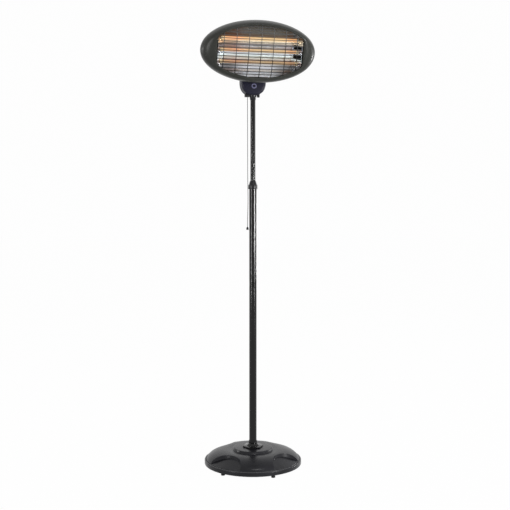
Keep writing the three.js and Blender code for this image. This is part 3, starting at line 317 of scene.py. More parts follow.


# Painted reflections and painted shade on the mirror sheet: its colour by height above the opening's middle (bands of
# painted reflection, dark where shade is painted), how far its lower part is darkened by painted shade to the sides,
# and how its upper part is tinted warm to the left by a painted reflection
mirrorPaintedLightLook = {
    "reach": 109, "metallic": 0.6, "roughness": (0.2, 0.3),
    "tints": [
        (-109, (0.78, 0.82, 0.92)), (-87, (0.76, 0.83, 0.93)), (-70, (0.6, 0.61, 0.65)), (-60, (0.58, 0.58, 0.58)),
        (-46, (0.34, 0.22, 0.2)), (-42, (0.74, 0.66, 0.62)), (-36, (0.88, 0.98, 1.0)), (-27, (0.86, 1.0, 1.0)),
        (-18, (0.82, 0.9, 0.96)), (-8, (0.38, 0.4, 0.44)), (8, (0.44, 0.41, 0.42)), (16, (0.52, 0.63, 0.8)),
        (25, (0.22, 0.2, 0.2)), (32, (1.0, 0.92, 0.74)), (44, (0.82, 0.7, 0.5)), (57, (0.13, 0.08, 0.05)),
        (66, (0.12, 0.135, 0.15)), (109, (0.145, 0.152, 0.154)),
    ],
    "paintedShade": {"across": (40, 130), "heights": (-46, -64), "tint": (0.36, 0.35, 0.34)},
    "paintedWarmReflection": {"across": (-50, -130), "heights": (-10, 6), "tint": (0.74, 0.6, 0.5)},
}


# How far up the tilted head a point lies, from 0 at the first height above the opening's middle to 1 at the second
def headHeight(tree, low, high):
    tilt = math.radians(headLook["tilt"])
    up = Vector((0, -math.sin(tilt), math.cos(tilt)))
    middle = headCentre().dot(up) + openingLook["rise"]
    along = addNode(tree, "VectorMath", {0: objectPlace(tree), 1: up}, operation="DOT_PRODUCT")
    return mapRange(tree, along.outputs["Value"], ((middle + low) * mm, (middle + high) * mm))


def mirrorWithPaintedLight(look):
    material, tree, shader = newMaterial("mirrorSheet", (0.6, 0.6, 0.6), look["roughness"][0], look["metallic"])
    reach = look["reach"]
    # the bands of painted reflection and painted shade, by height
    stops = [((height + reach) / (2 * reach), tint) for height, tint in look["tints"]]
    color = colorRamp(tree, headHeight(tree, -reach, reach), stops)
    sideways = placeAlong(tree, "X")
    # painted shade darkens the lower sides, and a painted warm reflection tints the upper left
    for name, across in (("paintedShade", mathNode(tree, "ABSOLUTE", sideways)), ("paintedWarmReflection", sideways)):
        edges = [edge * mm for edge in look[name]["across"]]
        side = mapRange(tree, across, edges, interpolation_type="SMOOTHSTEP")
        corner = mathNode(tree, "MULTIPLY", side, headHeight(tree, *look[name]["heights"]))
        colors = {"Fac": corner, "Color1": color, "Color2": (*look[name]["tint"], 1)}
        color = addNode(tree, "MixRGB", colors, blend_type="MULTIPLY").outputs["Color"]
    tree.links.new(color, shader.inputs["Base Color"])
    rolled = objectNoise(tree, 60, 2.0, (0.15, 1, 1))
    addBump(tree, shader, rolled, 0.15, 0.3)
    varyRoughness(tree, shader, rolled, *look["roughness"])
    return material


# The grille wires get painted shade low down and a painted highlight higher up: dark at the first height, pale at the
# second
wirePaintedLightLook = {"heights": (-30, 60), "tints": ((0.004, 0.004, 0.005), (0.07, 0.07, 0.07))}


def paintWireLightAndShade(material, look):
    tree = material.node_tree
    height = headHeight(tree, *look["heights"])
    varyColor(tree, tree.nodes["Principled BSDF"], height, *look["tints"], 0.0, 1.0)


# The lit colour of the quartz along its length, from the left end to the right
glowLook = {
    "halfLength": 160,
    "strength": (0.22, 0.66),  # of the lowest tube and of the highest
    "heights": (-48.5, 48.5),
    "stops": [
        (0.0, (0.98, 0.72, 0.36)), (0.06, (0.95, 0.52, 0.25)), (0.2, (0.98, 0.42, 0.2)), (0.3, (0.9, 0.56, 0.27)),
        (0.5, (0.86, 0.65, 0.34)), (0.8, (0.88, 0.65, 0.33)), (0.92, (0.82, 0.42, 0.17)), (1.0, (0.76, 0.42, 0.19)),
    ],
}


def quartzMaterial(look):
    material, tree, shader = newMaterial("litQuartz", (0.3, 0.22, 0.15), 0.12, 0.0, 0.3)
    shader.inputs["Transmission Weight"].default_value = 0.35
    strength = mapRange(tree, headHeight(tree, *look["heights"]), (0, 1), look["strength"])
    tree.links.new(strength, shader.inputs["Emission Strength"])
    half = look["halfLength"] * mm
    glow = colorRamp(tree, mapRange(tree, placeAlong(tree, "X"), (-half, half)), look["stops"])
    tree.links.new(glow, shader.inputs["Emission Color"])
    addBump(tree, shader, objectNoise(tree, 350, 2.0, (0.2, 1, 1)), 0.08, 0.2)
    return material


def filamentMaterial():
    material, tree, shader = newMaterial("glowingWire", (0.5, 0.16, 0.05), 0.5, 0.4)
    shader.inputs["Emission Strength"].default_value = 1.6
    glow = colorRamp(tree, objectNoise(tree, 60), [(0, (0.95, 0.3, 0.08)), (1, (1.0, 0.52, 0.18))])
    tree.links.new(glow, shader.inputs["Emission Color"])
    return material


def cordMaterial():
    material, tree, shader = newMaterial("braidedCord", (0.07, 0.07, 0.07), 0.85, 0.0, 0.2)
    wave = {"Vector": objectPlace(tree), "Scale": 420, "Distortion": 1.5}
    braid = addNode(tree, "TexWave", wave, bands_direction="DIAGONAL").outputs["Fac"]
    varyColor(tree, shader, braid, (0.045, 0.045, 0.045), (0.09, 0.09, 0.088), 0.1, 0.7)
    addBump(tree, shader, braid, 0.6, 0.3)
    return material


def floorMaterial():
    material, tree, shader = newMaterial("paleFloor", (0.82, 0.82, 0.82), 0.9)
    glow = addNode(tree, "Emission", {"Color": (1, 1, 1, 1)}).outputs["Emission"]
    share = mathNode(tree, "MULTIPLY", shownRays(tree), 0.98)
    mix = addNode(tree, "MixShader", {"Fac": share, 1: shader.outputs["BSDF"], 2: glow})
    tree.links.new(mix.outputs["Shader"], tree.nodes["Material Output"].inputs["Surface"])
    return material


finishes = {slot: grainedMaterial(look) for slot, look in finishLook.items()}
paintBeadHighlight(finishes["charcoal_cover"], coverLook)
paintWireLightAndShade(finishes["wire_steel"], wirePaintedLightLook)
finishes["polished_aluminium"] = mirrorWithPaintedLight(mirrorPaintedLightLook)
finishes["quartz_glass"] = quartzMaterial(glowLook)
finishes["glowing_wire"] = filamentMaterial()
finishes["grey_cord"] = cordMaterial()
slotOfNode = {part["node"]: part["material_slot"] for part in frame["record"]["subparts"]}
for nodeName, node in frame["nodes"].items():
    node.data.materials.clear()
    node.data.materials.append(finishes[slotOfNode[nodeName]])
print("materials made:", len(finishes))


# Modelling helpers


def only(piece):
    bpy.ops.object.select_all(action="DESELECT")
    piece.select_set(True)
    bpy.context.view_layer.objects.active = piece


def applyModifier(piece, kind, **settings):
    only(piece)
    modifier = piece.modifiers.new(kind, kind)
    for setting, value in settings.items():
        setattr(modifier, setting, value)
    bpy.ops.object.modifier_apply(modifier=modifier.name)


def roundEdges(piece, width, segments=3, angle=30):
    applyModifier(
        piece, "BEVEL", limit_method="ANGLE", angle_limit=math.radians(angle), width=width * mm, segments=segments
    )


def boolean(piece, tool, operation="DIFFERENCE"):
    applyModifier(piece, "BOOLEAN", object=tool, operation=operation, solver="EXACT")
    bpy.data.objects.remove(tool)


def place(piece, location=(0, 0, 0), rotation=(0, 0, 0)):
    only(piece)
    piece.location = Vector(location) * mm
    piece.rotation_euler = [math.radians(angle) for angle in rotation]
    bpy.ops.object.transform_apply()


def dress(piece, name, body, slot, *nodes, smooth=35):
    only(piece)
    bpy.ops.object.shade_smooth_by_angle(angle=math.radians(smooth))
    piece.name = name
    piece.data.materials.clear()
    piece.data.materials.append(finishes[slot])
    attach(piece, body)
    if nodes:
        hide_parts(*nodes)
    return piece


def added(primitive, **settings):
    bpy.ops.object.select_all(action="DESELECT")
    primitive(**settings)
    return bpy.context.object


# Cuts the piece along a plane. A side is taken off by clear_inner or clear_outer.
def cutAcross(piece, at, normal, **sides):
    only(piece)
    bpy.ops.object.mode_set(mode="EDIT")
    bpy.ops.mesh.select_all(action="SELECT")
    bpy.ops.mesh.bisect(plane_co=Vector(at) * mm, plane_no=normal, **sides)
    bpy.ops.object.mode_set(mode="OBJECT")


# Leaves the piece in edit mode, with the faces or edges that pass the test selected
def choose(piece, kind, test):
    only(piece)
    bpy.ops.object.mode_set(mode="EDIT")
    bpy.ops.mesh.select_all(action="DESELECT")
    mesh = bmesh.from_edit_mesh(piece.data)
    for item in getattr(mesh, kind):
        item.select = test(item)
    bmesh.update_edit_mesh(piece.data)


# A skin of rings, each pulled out of the one before and set in its place
def pulledRings(rings, closed=False):
    piece = added(bpy.ops.mesh.primitive_circle_add, vertices=len(rings[0]), radius=1)
    bpy.ops.object.mode_set(mode="EDIT")
    bpy.ops.mesh.select_all(action="SELECT")
    numbers = None
    for count, ring in enumerate(rings):
        if count:
            bpy.ops.mesh.extrude_region_move()
        mesh = bmesh.from_edit_mesh(piece.data)
        if numbers is None:
            numbers = {tuple(vertex.co): vertex.index for vertex in mesh.verts}
        moved = {}
        for vertex in mesh.verts:
            if vertex.select:
                number = numbers[tuple(vertex.co)]
                vertex.co = Vector(ring[number]) * mm
                moved[tuple(vertex.co)] = number
        numbers = moved
        bmesh.update_edit_mesh(piece.data)
    bpy.ops.mesh.select_all(action="DESELECT")
    bpy.ops.mesh.select_non_manifold()
    if closed:
        bpy.ops.mesh.bridge_edge_loops()
    else:
        bpy.ops.mesh.fill_holes(sides=0)
    bpy.ops.mesh.select_all(action="SELECT")
    bpy.ops.mesh.normals_make_consistent(inside=False)
    bpy.ops.object.mode_set(mode="OBJECT")
    return piece


# A turned piece about Z, from [radius, height] pairs: a ring's profile is closed, a solid's starts and ends in a cap
def turnedPiece(profile, sides=96, ring=False):
    rings = []
    for radius, height in profile:
        turns = [2 * math.pi * side / sides for side in range(sides)]
        rings.append([(radius * math.cos(turn), radius * math.sin(turn), height) for turn in turns])
    return pulledRings(rings, closed=ring)


def arc(centre, radius, start, end, steps):
    points = []
    for step in range(steps + 1):
        turn = math.radians(start + (end - start) * step / steps)
        points.append((centre[0] + radius * math.cos(turn), centre[1] + radius * math.sin(turn)))
    return points


def hexPoints(radius):
    turns = [math.radians(60 * corner) for corner in range(6)]
    return [(radius * math.cos(turn), radius * math.sin(turn)) for turn in turns]


# A flat plate across X, its outline in [y, z] pairs
def plateAcrossX(outline, left, right):
    return pulledRings([[(x, y, z) for y, z in outline] for x in (left, right)])


def blockPiece(low, high):
    middle = [(a + b) / 2 * mm for a, b in zip(low, high)]
    piece = added(bpy.ops.mesh.primitive_cube_add, size=1, location=middle)
    piece.scale = [(b - a) * mm for a, b in zip(low, high)]
    bpy.ops.object.transform_apply()
    return piece


def rodPiece(radius, start, end, sides=64):
    run = Vector(end) - Vector(start)
    middle, turn = (Vector(start) + Vector(end)) / 2 * mm, run.to_track_quat("Z", "Y").to_euler()
    size = {"vertices": sides, "radius": radius * mm, "depth": run.length * mm}
    piece = added(bpy.ops.mesh.primitive_cylinder_add, location=middle, rotation=turn, **size)
    bpy.ops.object.transform_apply()
    return piece


# A rod along X at the given y and z
def rodAcross(radius, left, right, y, z, sides=48):
    return rodPiece(radius, (left, y, z), (right, y, z), sides)


def joinPieces(pieces):
    only(pieces[0])
    for piece in pieces:
        piece.select_set(True)
    bpy.ops.object.join()
    return bpy.context.object


def span(node):
    low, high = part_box(node)
    return low / mm, high / mm


# Floor


def makeFloor():
    floor = added(bpy.ops.mesh.primitive_plane_add, size=60, location=(0, 0, -0.0002))
    floor.name = "studioFloor"
    floor.data.materials.append(floorMaterial())


makeFloor()


# Pull cord and knob. The route is the solid's own, from the outlet down to the knob.

cordRoute = [
    (-24, 0, 1600.4), (-24, 0, 1592), (-23.9, 0, 1570), (-23.7, 0, 1530), (-23.5, 0, 1480), (-23.4, 0, 1430),
    (-23.3, 0, 1380), (-23.2, 0, 1330), (-23.1, 0, 1285), (-22.8, 0, 1245), (-22.3, 0, 1210), (-21.8, 0, 1180),
    (-21.7, 0, 1155), (-22.1, 0, 1125), (-22.9, 0, 1095), (-23.6, 0, 1070), (-24, 0, 1050), (-24, 0, 1042),
    (-24, 0, 1038.3),
]
cordLook = {"diameter": 2.6, "length": 562.2, "sides": 3}


def makeKnob():
    low, high = span("pull_knob")
    radius, top, foot = (high.y - low.y) / 2, high.z, low.z
    profile = [(1.2, foot), *arc((radius - 1.4, foot + 1.4), 1.4, -90, 0, 4)]
    profile += arc((radius - 1.2, top - 5.2), 1.2, 0, 60, 3)
    profile += [(radius - 1.7, top - 1.2), (radius - 2.1, top - 0.3), (radius - 2.6, top)]
    knob = turnedPiece(profile, 48)
    place(knob, ((low.x + high.x) / 2, 0, 0))
    return dress(knob, "pullKnob", "pull", "black_plastic", "pull_knob")


def makeCord(look, knob):
    cord = added(bpy.ops.curve.primitive_bezier_curve_add)
    cord.name = "pullCord"
    spline = cord.data.splines[0]
    spline.bezier_points.add(len(cordRoute) - 2)
    for point, at in zip(spline.bezier_points, cordRoute):
        point.co = Vector(at) * mm
        point.handle_left_type = point.handle_right_type = "AUTO"
    cord.data.bevel_depth = look["diameter"] / 2 * mm
    cord.data.bevel_resolution = look["sides"]
    cord.data.resolution_u = 6
    cord.data.use_fill_caps = True
    cord.data.materials.append(finishes["grey_cord"])
    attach(cord, "pull")
    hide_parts("pull_cord")


makeCord(cordLook, makeKnob())
print("pull cord hung")


# Base


def coverProfile(look):
    radius, groove, top, beadRadius = look["radius"], look["groove"], look["plateau"], look["beadRadius"]
    edgeRadius, edgeHeight = look["domeEdge"]
    footRadius, footHeight = look["plateauFoot"]
    bead = arc((radius - beadRadius, look["rim"] - beadRadius), beadRadius, 0, 145, 10)
    profile = [(radius, look["foot"]), *bead, (edgeRadius + 0.4, groove), (edgeRadius, groove + 0.3)]
    profile.append((edgeRadius, edgeHeight))
    steps = 16
    for step in range(1, steps + 1):
        share = (step / steps) ** 1.3
        straight = edgeHeight + (footHeight - edgeHeight) * share
        swell = share ** look["power"]
        height = straight + look["bulge"] * 4 * swell * (1 - swell)
        profile.append((edgeRadius + (footRadius - edgeRadius) * share, height))
    profile += [(footRadius - 1.4, footHeight + 1.2), (top[0] + 1.2, top[1] - 3)]
    return profile + arc((top[0] - 2.4, top[1] - 3.6), 3.6, 30, 90, 5)


def scoopTool(look):
    reach = 200
    edgeRadius, edgeHeight = look["domeEdge"]
    far = look["radius"] + reach
    tip = edgeHeight + 0.3 + edgeRadius * look["scoopSlope"]
    rim = edgeHeight + 0.3 - (far - edgeRadius) * look["scoopSlope"]
    columns = []
    for number in range(look["scoops"]):
        turn = math.radians(look["firstScoop"] + number * 360 / look["scoops"])
        centre = (look["scoopCentre"] * math.sin(turn), -look["scoopCentre"] * math.cos(turn))
        columns.append(rodPiece(look["scoopRadius"], (*centre, 0), (*centre, reach), 128))
    columns = joinPieces(columns)
    floor = turnedPiece([(far, -reach), (far, rim), (0.5, tip)], 128)
    boolean(columns, floor)
    return columns


def makeCover(look):
    cover = turnedPiece(coverProfile(look), look["sides"])
    boolean(cover, scoopTool(look))
    roundEdges(cover, 1.6, 3, 22)
    under = (look["foot"] + 1) * mm
    choose(cover, "faces", lambda face: face.normal.z < -0.9 and face.calc_center_median().z < under)
    bpy.ops.mesh.delete(type="FACE")
    bpy.ops.object.mode_set(mode="OBJECT")
    applyModifier(cover, "SOLIDIFY", thickness=look["wall"] * mm, offset=-1)
    boolean(cover, rodPiece(6, (0, 0, 60), (0, 0, 100), 48))
    dress(cover, "baseCover", "base", "charcoal_cover", "base_cover", smooth=32)


makeCover(coverLook)

flangeLook = {"hexRadius": 45, "plate": 5.5, "flare": 26.5, "socket": 18.5, "bore": 16.3}


def makeFlange(look):
    low, high = span("foot_flange")
    foot, top, plateTop = low.z, high.z, low.z + look["plate"]
    bore, flare, socket = look["bore"], look["flare"], look["socket"]
    corners = hexPoints(look["hexRadius"])
    plate = pulledRings([[(*corner, height) for corner in corners] for height in (foot, plateTop)])
    roundEdges(plate, 1.0, 3)
    profile = [(bore, foot + 3), (flare, foot + 3), (flare, plateTop + 1.2), (socket + 0.5, plateTop + 8.6)]
    profile += [(socket, plateTop + 9.6), (socket, top - 1.4), (socket - 0.4, top - 0.4), (socket - 1.4, top)]
    profile += [(bore + 0.3, top), (bore, top - 0.5)]
    sleeve = turnedPiece(profile, ring=True)
    boolean(plate, rodPiece(bore + 3, (0, 0, foot + 2.7), (0, 0, top + 5), 96))
    boolean(plate, rodPiece(5.3, (0, 0, foot - 5), (0, 0, top), 48))
    boolean(plate, sleeve, "UNION")
    dress(plate, "footFlange", "base", "black_enamel", "foot_flange", smooth=18)


makeFlange(flangeLook)


def makeFeet():
    for number in range(1, 6):
        node = f"foot_{number}"
        low, high = span(node)
        radius = (high.x - low.x) / 2
        profile = [(radius - 3.6, 0.5), (radius - 2.4, 0), *arc((radius - 1.3, 1.3), 1.3, -90, 0, 4)]
        profile += [(radius, 6), (radius - 0.7, 6.6), (radius - 0.7, 7.6), (radius, 8.2), (radius, 15.4)]
        profile += [(radius - 0.6, 16.4), (radius - 1.4, 16.7), (4, 16.7), (4, high.z - 0.3), (3.4, high.z)]
        foot = turnedPiece(profile, 48)
        place(foot, ((low.x + high.x) / 2, (low.y + high.y) / 2, 0))
        dress(foot, f"rubberFoot{number}", "base", "foot_rubber", node)


makeFeet()
print("base made")


# Poles

poleLook = {"wall": 1.2, "mast": 11, "mastWall": 1.1, "mastBead": 1019.6, "ease": 0.4, "sides": 96}


def tubeProfile(inner, outer, low, high, ease):
    profile = [(inner, low), (outer - ease, low), (outer, low + ease), (outer, high - ease), (outer - ease, high)]
    return profile + [(inner, high)]


def makePoles(look):
    for name, node in (("lowerPoleFoot", "lower_pole_bottom"), ("lowerPoleHead", "lower_pole_top")):
        low, high = span(node)
        outer = high.x
        profile = tubeProfile(outer - look["wall"], outer, low.z, high.z, look["ease"])
        pole = turnedPiece(profile, look["sides"], ring=True)
        dress(pole, name, "base", "black_enamel", node)
    low, high = span("upper_pole")
    outer, bead = look["mast"], look["mastBead"]
    profile = tubeProfile(outer - look["mastWall"], outer, low.z, high.z, look["ease"])
    profile[3:3] = [(outer, bead), (high.x, bead + 0.2), (high.x, bead + 1.8), (outer, bead + 3.2)]
    mast = turnedPiece(profile, look["sides"], ring=True)
    dress(mast, "upperPole", "mast", "black_enamel", "upper_pole")


makePoles(poleLook)

couplerLook = {"bore": 12, "spigot": 14.5, "ring": 16, "ringFoot": 776, "ringTop": 798, "grooves": 7,
               "grooveDepth": 0.6}


def makeCoupler(look):
    low, high = span("pole_coupler")
    bore, spigot, ring, foot, top = look["bore"], look["spigot"], look["ring"], look["ringFoot"], look["ringTop"]
    profile = [(bore, low.z), (spigot - 0.8, low.z), (spigot, low.z + 0.8), (spigot, foot), (ring - 0.5, foot)]
    profile.append((ring, foot + 0.5))
    pitch, inner = (top - foot - 5) / look["grooves"], ring - look["grooveDepth"]
    for groove in range(look["grooves"]):
        start = foot + 2 + groove * pitch
        end = start + pitch * 0.45
        profile += [(ring, start), (inner, start + 0.35), (inner, end), (ring, end + 0.35)]
    profile += [(ring, top - 1.5), (ring - 1.5, top), (spigot, top), (spigot, high.z - 0.8)]
    profile += [(spigot - 0.8, high.z), (bore, high.z)]
    dress(turnedPiece(profile, ring=True), "poleCoupler", "base", "black_enamel", "pole_coupler")


makeCoupler(couplerLook)

collarLook = {"bore": 16.5, "mastBore": 11.3, "shoulder": 1221, "coneFoot": 17, "coneTop": 12.5}


def makeCollar(look):
    low, high = span("collar_nut")
    radius, foot, top, shoulder = high.y, low.z, high.z, look["shoulder"]
    bore, mastBore, coneFoot, coneTop = look["bore"], look["mastBore"], look["coneFoot"], look["coneTop"]
    profile = [(bore, foot), (radius - 1, foot), *arc((radius - 1, foot + 1), 1, -90, 0, 3)[1:]]
    profile += [*arc((radius - 1, shoulder - 1), 1, 0, 90, 3), (coneFoot + 0.6, shoulder), (coneFoot, shoulder + 0.6)]
    profile += [(coneTop + 0.5, top - 1.2), (coneTop - 0.4, top - 0.3), (coneTop - 0.9, top), (mastBore, top)]
    profile += [(mastBore, top - 4), (bore, foot + 12.3)]
    dress(turnedPiece(profile, ring=True), "collarNut", "collar", "black_plastic", "collar_nut")


makeCollar(collarLook)

neckLook = {"bore": 11.3, "foot": 12.2, "wide": 15.5, "shoulder": 1607, "flange": 18.4, "flangeFoot": 1614.7}


def makeNeck(look):
    low, high = span("neck")
    bore, foot, wide, flange = look["bore"], look["foot"], look["wide"], look["flange"]
    shoulder, under = look["shoulder"], look["flangeFoot"]
    profile = [(bore, low.z), (foot - 0.5, low.z), (foot, low.z + 0.5), (wide - 0.2, shoulder - 1)]
    profile += [(wide, shoulder + 0.6), (wide, under), (flange, under), (flange, under + 2.3)]
    profile += [(wide - 1.5, under + 2.3), (wide - 1.5, high.z), (bore, high.z)]
    dress(turnedPiece(profile, ring=True), "poleNeck", "mast", "black_plastic", "neck")


makeNeck(neckLook)
print("poles made")


# Switch housing

housingLook = {"halfWidth": 54.5, "drop": 59, "centre": 1668, "top": 1676, "front": -24, "back": 36, "split": 6,
               "wall": 2.5, "round": 11, "roundness": 2.4, "steps": 96}


def housingRing(look, inset, y):
    halfWidth, drop, power = look["halfWidth"] - inset, look["drop"] - inset, 2 / look["roundness"]
    ring = [(halfWidth, y, look["top"] - inset)]
    for step in range(look["steps"] + 1):
        turn = math.pi * step / look["steps"]
        across = math.copysign(abs(math.cos(turn)) ** power, math.cos(turn))
        ring.append((halfWidth * across, y, look["centre"] - drop * max(math.sin(turn), 0) ** power))
    return [*ring, (-halfWidth, y, look["top"] - inset)]


def housingHalf(look, front):
    rounding, steps = look["round"], 7
    rings = []
    for step in range(steps + 1):
        turn = math.pi / 2 * step / steps
        inset, behind = rounding * (1 - math.sin(turn)), rounding * (1 - math.cos(turn))
        rings.insert(step, housingRing(look, inset, look["front"] + behind))
        rings.insert(step + 1, housingRing(look, inset, look["back"] - behind))
    half = pulledRings(rings)
    gap = -0.15 if front else 0.15
    cutAcross(half, (0, look["split"] + gap, 0), (0, 1, 0), clear_outer=front, clear_inner=not front)
    applyModifier(half, "SOLIDIFY", thickness=look["wall"] * mm, offset=-1, use_even_offset=True)
    roundEdges(half, 0.5, 2, 60)
    return half


def makeHousing(look):
    dress(housingHalf(look, True), "housingFront", "mast", "navy_plastic", "housing_front")
    back = housingHalf(look, False)
    for side in ("left", "right"):
        low, high = span(f"housing_screw_{side}")
        middle = ((low.x + high.x) / 2, (low.z + high.z) / 2)
        boolean(back, rodPiece(2.2, (middle[0], 20, middle[1]), (middle[0], 45, middle[1]), 32))
    dress(back, "housingBack", "mast", "navy_plastic", "housing_back")


makeHousing(housingLook)


def makeScrews():
    for side in ("left", "right"):
        node = f"housing_screw_{side}"
        low, high = span(node)
        radius, face = (high.x - low.x) / 2, high.y
        height = 2.4
        profile = [(1.7, face - height - 12), (1.8, face - height), (radius, face - height)]
        profile += arc((0.6, face - height), radius - 0.6, 0, 80, 6)[1:]
        screw = turnedPiece(profile, 48)
        place(screw, ((low.x + high.x) / 2, 0, (low.z + high.z) / 2), (-90, 0, 0))
        cross = [blockPiece((-2.2, face - 1.1, -0.45), (2.2, face + 1, 0.45)),
                 blockPiece((-0.45, face - 1.1, -2.2), (0.45, face + 1, 2.2))]
        boolean(cross[0], cross[1], "UNION")
        place(cross[0], ((low.x + high.x) / 2, 0, (low.z + high.z) / 2))
        boolean(screw, cross[0])
        dress(screw, f"housingScrew{side.title()}", "mast", "zinc_steel", node)


makeScrews()


def makeCapRing():
    low, high = span("screw_cap_ring")
    outer, inner, depth = (high.x - low.x) / 2 + 0.3, 6.5, high.y - low.y
    profile = [(inner, 0), (outer, 0), (outer, depth - 0.6), *arc((outer - 0.6, depth - 0.6), 0.6, 0, 90, 3)[1:]]
    profile += [*arc((inner + 0.6, depth - 0.6), 0.6, 90, 180, 3)]
    ring = turnedPiece(profile, 64, ring=True)
    place(ring, (0, high.y, (low.z + high.z) / 2), (90, 0, 0))
    dress(ring, "screwCapRing", "mast", "pale_plastic", "screw_cap_ring")


makeCapRing()


def makeOutlet():
    low, high = span("cord_outlet")
    body = blockPiece((low.x, low.y, low.z), (high.x, high.y, 1616))
    choose(body, "edges", lambda edge: abs(edge.verts[0].co.z - edge.verts[1].co.z) > 1 * mm)
    bpy.ops.mesh.bevel(offset=3 * mm, segments=5)
    bpy.ops.object.mode_set(mode="OBJECT")
    roundEdges(body, 0.8, 3, 50)
    boolean(body, rodPiece(2, (-24, 0, 1590), (-24, 0, 1625), 32))
    dress(body, "cordOutlet", "mast", "black_plastic", "cord_outlet")


makeOutlet()


def makeGland():
    low, high = span("cable_gland")
    radius, foot = (high.y - low.y) / 2, low.z
    profile = [(3.6, foot), (radius - 0.8, foot), (radius, foot + 0.8), (radius, foot + 3)]
    profile += [(radius - 0.6, foot + 3.4), (radius - 0.6, foot + 4.4), (radius, foot + 4.8), (radius, foot + 14)]
    profile += [(5, foot + 14), (5, high.z), (3.6, high.z)]
    gland = turnedPiece(profile, 64, ring=True)
    place(gland, ((low.x + high.x) / 2, 0, 0))
    dress(gland, "cableGland", "mast", "black_plastic", "cable_gland")


makeGland()
print("switch housing made")


# Tilt joint

tiltLook = {"halfGap": 29, "cheek": 2.5, "cheekRadius": 13, "plate": 3, "depth": 34, "bolt": 4}


def makeYoke(look):
    low, high = span("tilt_bracket")
    front, back = pivot.y - look["depth"] / 2, pivot.y + look["depth"] / 2
    outline = [(front, low.z), (back, low.z), (back, low.z + 6)]
    outline += arc((pivot.y, pivot.z), look["cheekRadius"], -10, 190, 32) + [(front, low.z + 6)]
    outside = look["halfGap"] + look["cheek"]
    yoke = blockPiece((-outside, front, low.z), (outside, back, low.z + look["plate"]))
    for left, right in ((-outside, -look["halfGap"]), (look["halfGap"], outside)):
        boolean(yoke, plateAcrossX(outline, left, right), "UNION")
    boolean(yoke, rodAcross(look["bolt"] + 0.3, -60, 60, pivot.y, pivot.z))
    roundEdges(yoke, 0.6, 2, 40)
    dress(yoke, "tiltYoke", "mast", "black_enamel", "tilt_bracket")


makeYoke(tiltLook)


def makeTiltBolt():
    low, high = span("tilt_bolt")
    radius, face = (high.z - low.z) / 2, high.x - 5
    profile = [(3.2, low.x), (4, low.x + 0.8), (4, face), (radius, face), (radius, high.x - 1.6)]
    profile += [(radius - 0.5, high.x - 0.6), (radius - 1.6, high.x)]
    bolt = turnedPiece(profile, 64)
    place(bolt, (0, pivot.y, pivot.z), (0, 90, 0))
    outline = [(pivot.y + a, pivot.z + b) for a, b in hexPoints(4.6)]
    boolean(bolt, plateAcrossX(outline, high.x - 3, high.x + 3))
    dress(bolt, "tiltBolt", "mast", "zinc_steel", "tilt_bolt")


def makeTiltNut():
    low, high = span("tilt_nut")
    nut = plateAcrossX([(pivot.y + b, pivot.z + a) for a, b in hexPoints(7.5)], low.x, high.x)
    boolean(nut, rodAcross(4.3, low.x - 5, high.x + 5, pivot.y, pivot.z))
    roundEdges(nut, 0.4, 2, 40)
    dress(nut, "tiltNut", "mast", "zinc_steel", "tilt_nut")


def makeWashers():
    for side in ("left", "right"):
        node = f"friction_washer_{side}"
        low, high = span(node)
        washer = rodAcross((high.z - low.z) / 2, low.x, high.x, pivot.y, pivot.z, 64)
        boolean(washer, rodAcross(4.3, low.x - 5, high.x + 5, pivot.y, pivot.z))
        roundEdges(washer, 0.2, 2, 40)
        dress(washer, f"frictionWasher{side.title()}", "mast", "black_plastic", node)


makeTiltBolt()
makeTiltNut()
makeWashers()
print("tilt joint made")


# Head


# Tilts a piece of the head into its place
def dressHead(piece, name, slot, node, smooth=35):
    place(piece, headCentre(), (headLook["tilt"], 0, 0))
    dress(piece, name, "head", slot, node, smooth=smooth)


ringPoints = 160


def openingRing(grow):
    look = openingLook
    limit = look["halfWidth"] + grow
    points = []
    for number in range(ringPoints):
        turn = 2 * math.pi * number / ringPoints
        x = max(-limit, min(limit, (look["arcHalfWidth"] + grow) * math.cos(turn)))
        points.append(Vector((x, 0, (look["halfHeight"] + grow) * math.sin(turn) + look["rise"])))
    for _ in range(5):  # softens the four corners
        points = [(points[i - 1] + 2 * points[i] + points[(i + 1) % ringPoints]) / 4 for i in range(ringPoints)]
    return points


def bezelRing(share, depth, inset, grow):
    rim = [2 * math.pi * number / ringPoints for number in range(ringPoints)]
    width, height = headLook["halfWidth"] - inset, headLook["halfHeight"] - inset
    ring = []
    for turn, edge in zip(rim, openingRing(grow)):
        outer = Vector((width * math.cos(turn), 0, height * math.sin(turn)))
        point = outer.lerp(edge, share)
        ring.append((point.x, -depth, point.z))
    return ring


def bezelSurface(depth, inset, grow, steps=14):
    rings = []
    for step in range(steps + 1):
        turn = math.pi / 2 * step / steps
        level = headLook["seam"] + (depth - headLook["seam"]) * math.sin(turn)
        rings.append(bezelRing(1 - math.cos(turn), level, inset, grow))
    return rings


def makeBezel():
    front, wall, edge = headLook["frontDepth"], headLook["wall"], openingLook["round"]
    rings = bezelSurface(front, 0, edge)
    for step in range(1, 6):
        turn = math.pi / 2 * step / 5
        rings.append(bezelRing(1, front - edge * (1 - math.cos(turn)), 0, edge * (1 - math.sin(turn))))
    lipBack = front - openingLook["lip"]
    rings += [bezelRing(1, lipBack, 0, 0), bezelRing(1, lipBack, 0, wall)]
    rings += reversed(bezelSurface(front - wall, wall, edge + wall))
    bezel = pulledRings(rings, closed=True)
    dressHead(bezel, "headBezel", "olive_grey_aluminium", "head_bezel", smooth=50)


makeBezel()


def ellipsoid(grow):
    shape = {"segments": 128, "ring_count": 64, "radius": 1, "rotation": (math.pi / 2, 0, 0)}
    body = added(bpy.ops.mesh.primitive_uv_sphere_add, **shape)
    body.scale = [(headLook[half] + grow) * mm for half in ("halfWidth", "halfHeight", "backDepth")]
    bpy.ops.object.transform_apply()
    return body


ventLook = {"count": 9, "pitch": 22, "width": 7, "height": 44, "rise": 34}


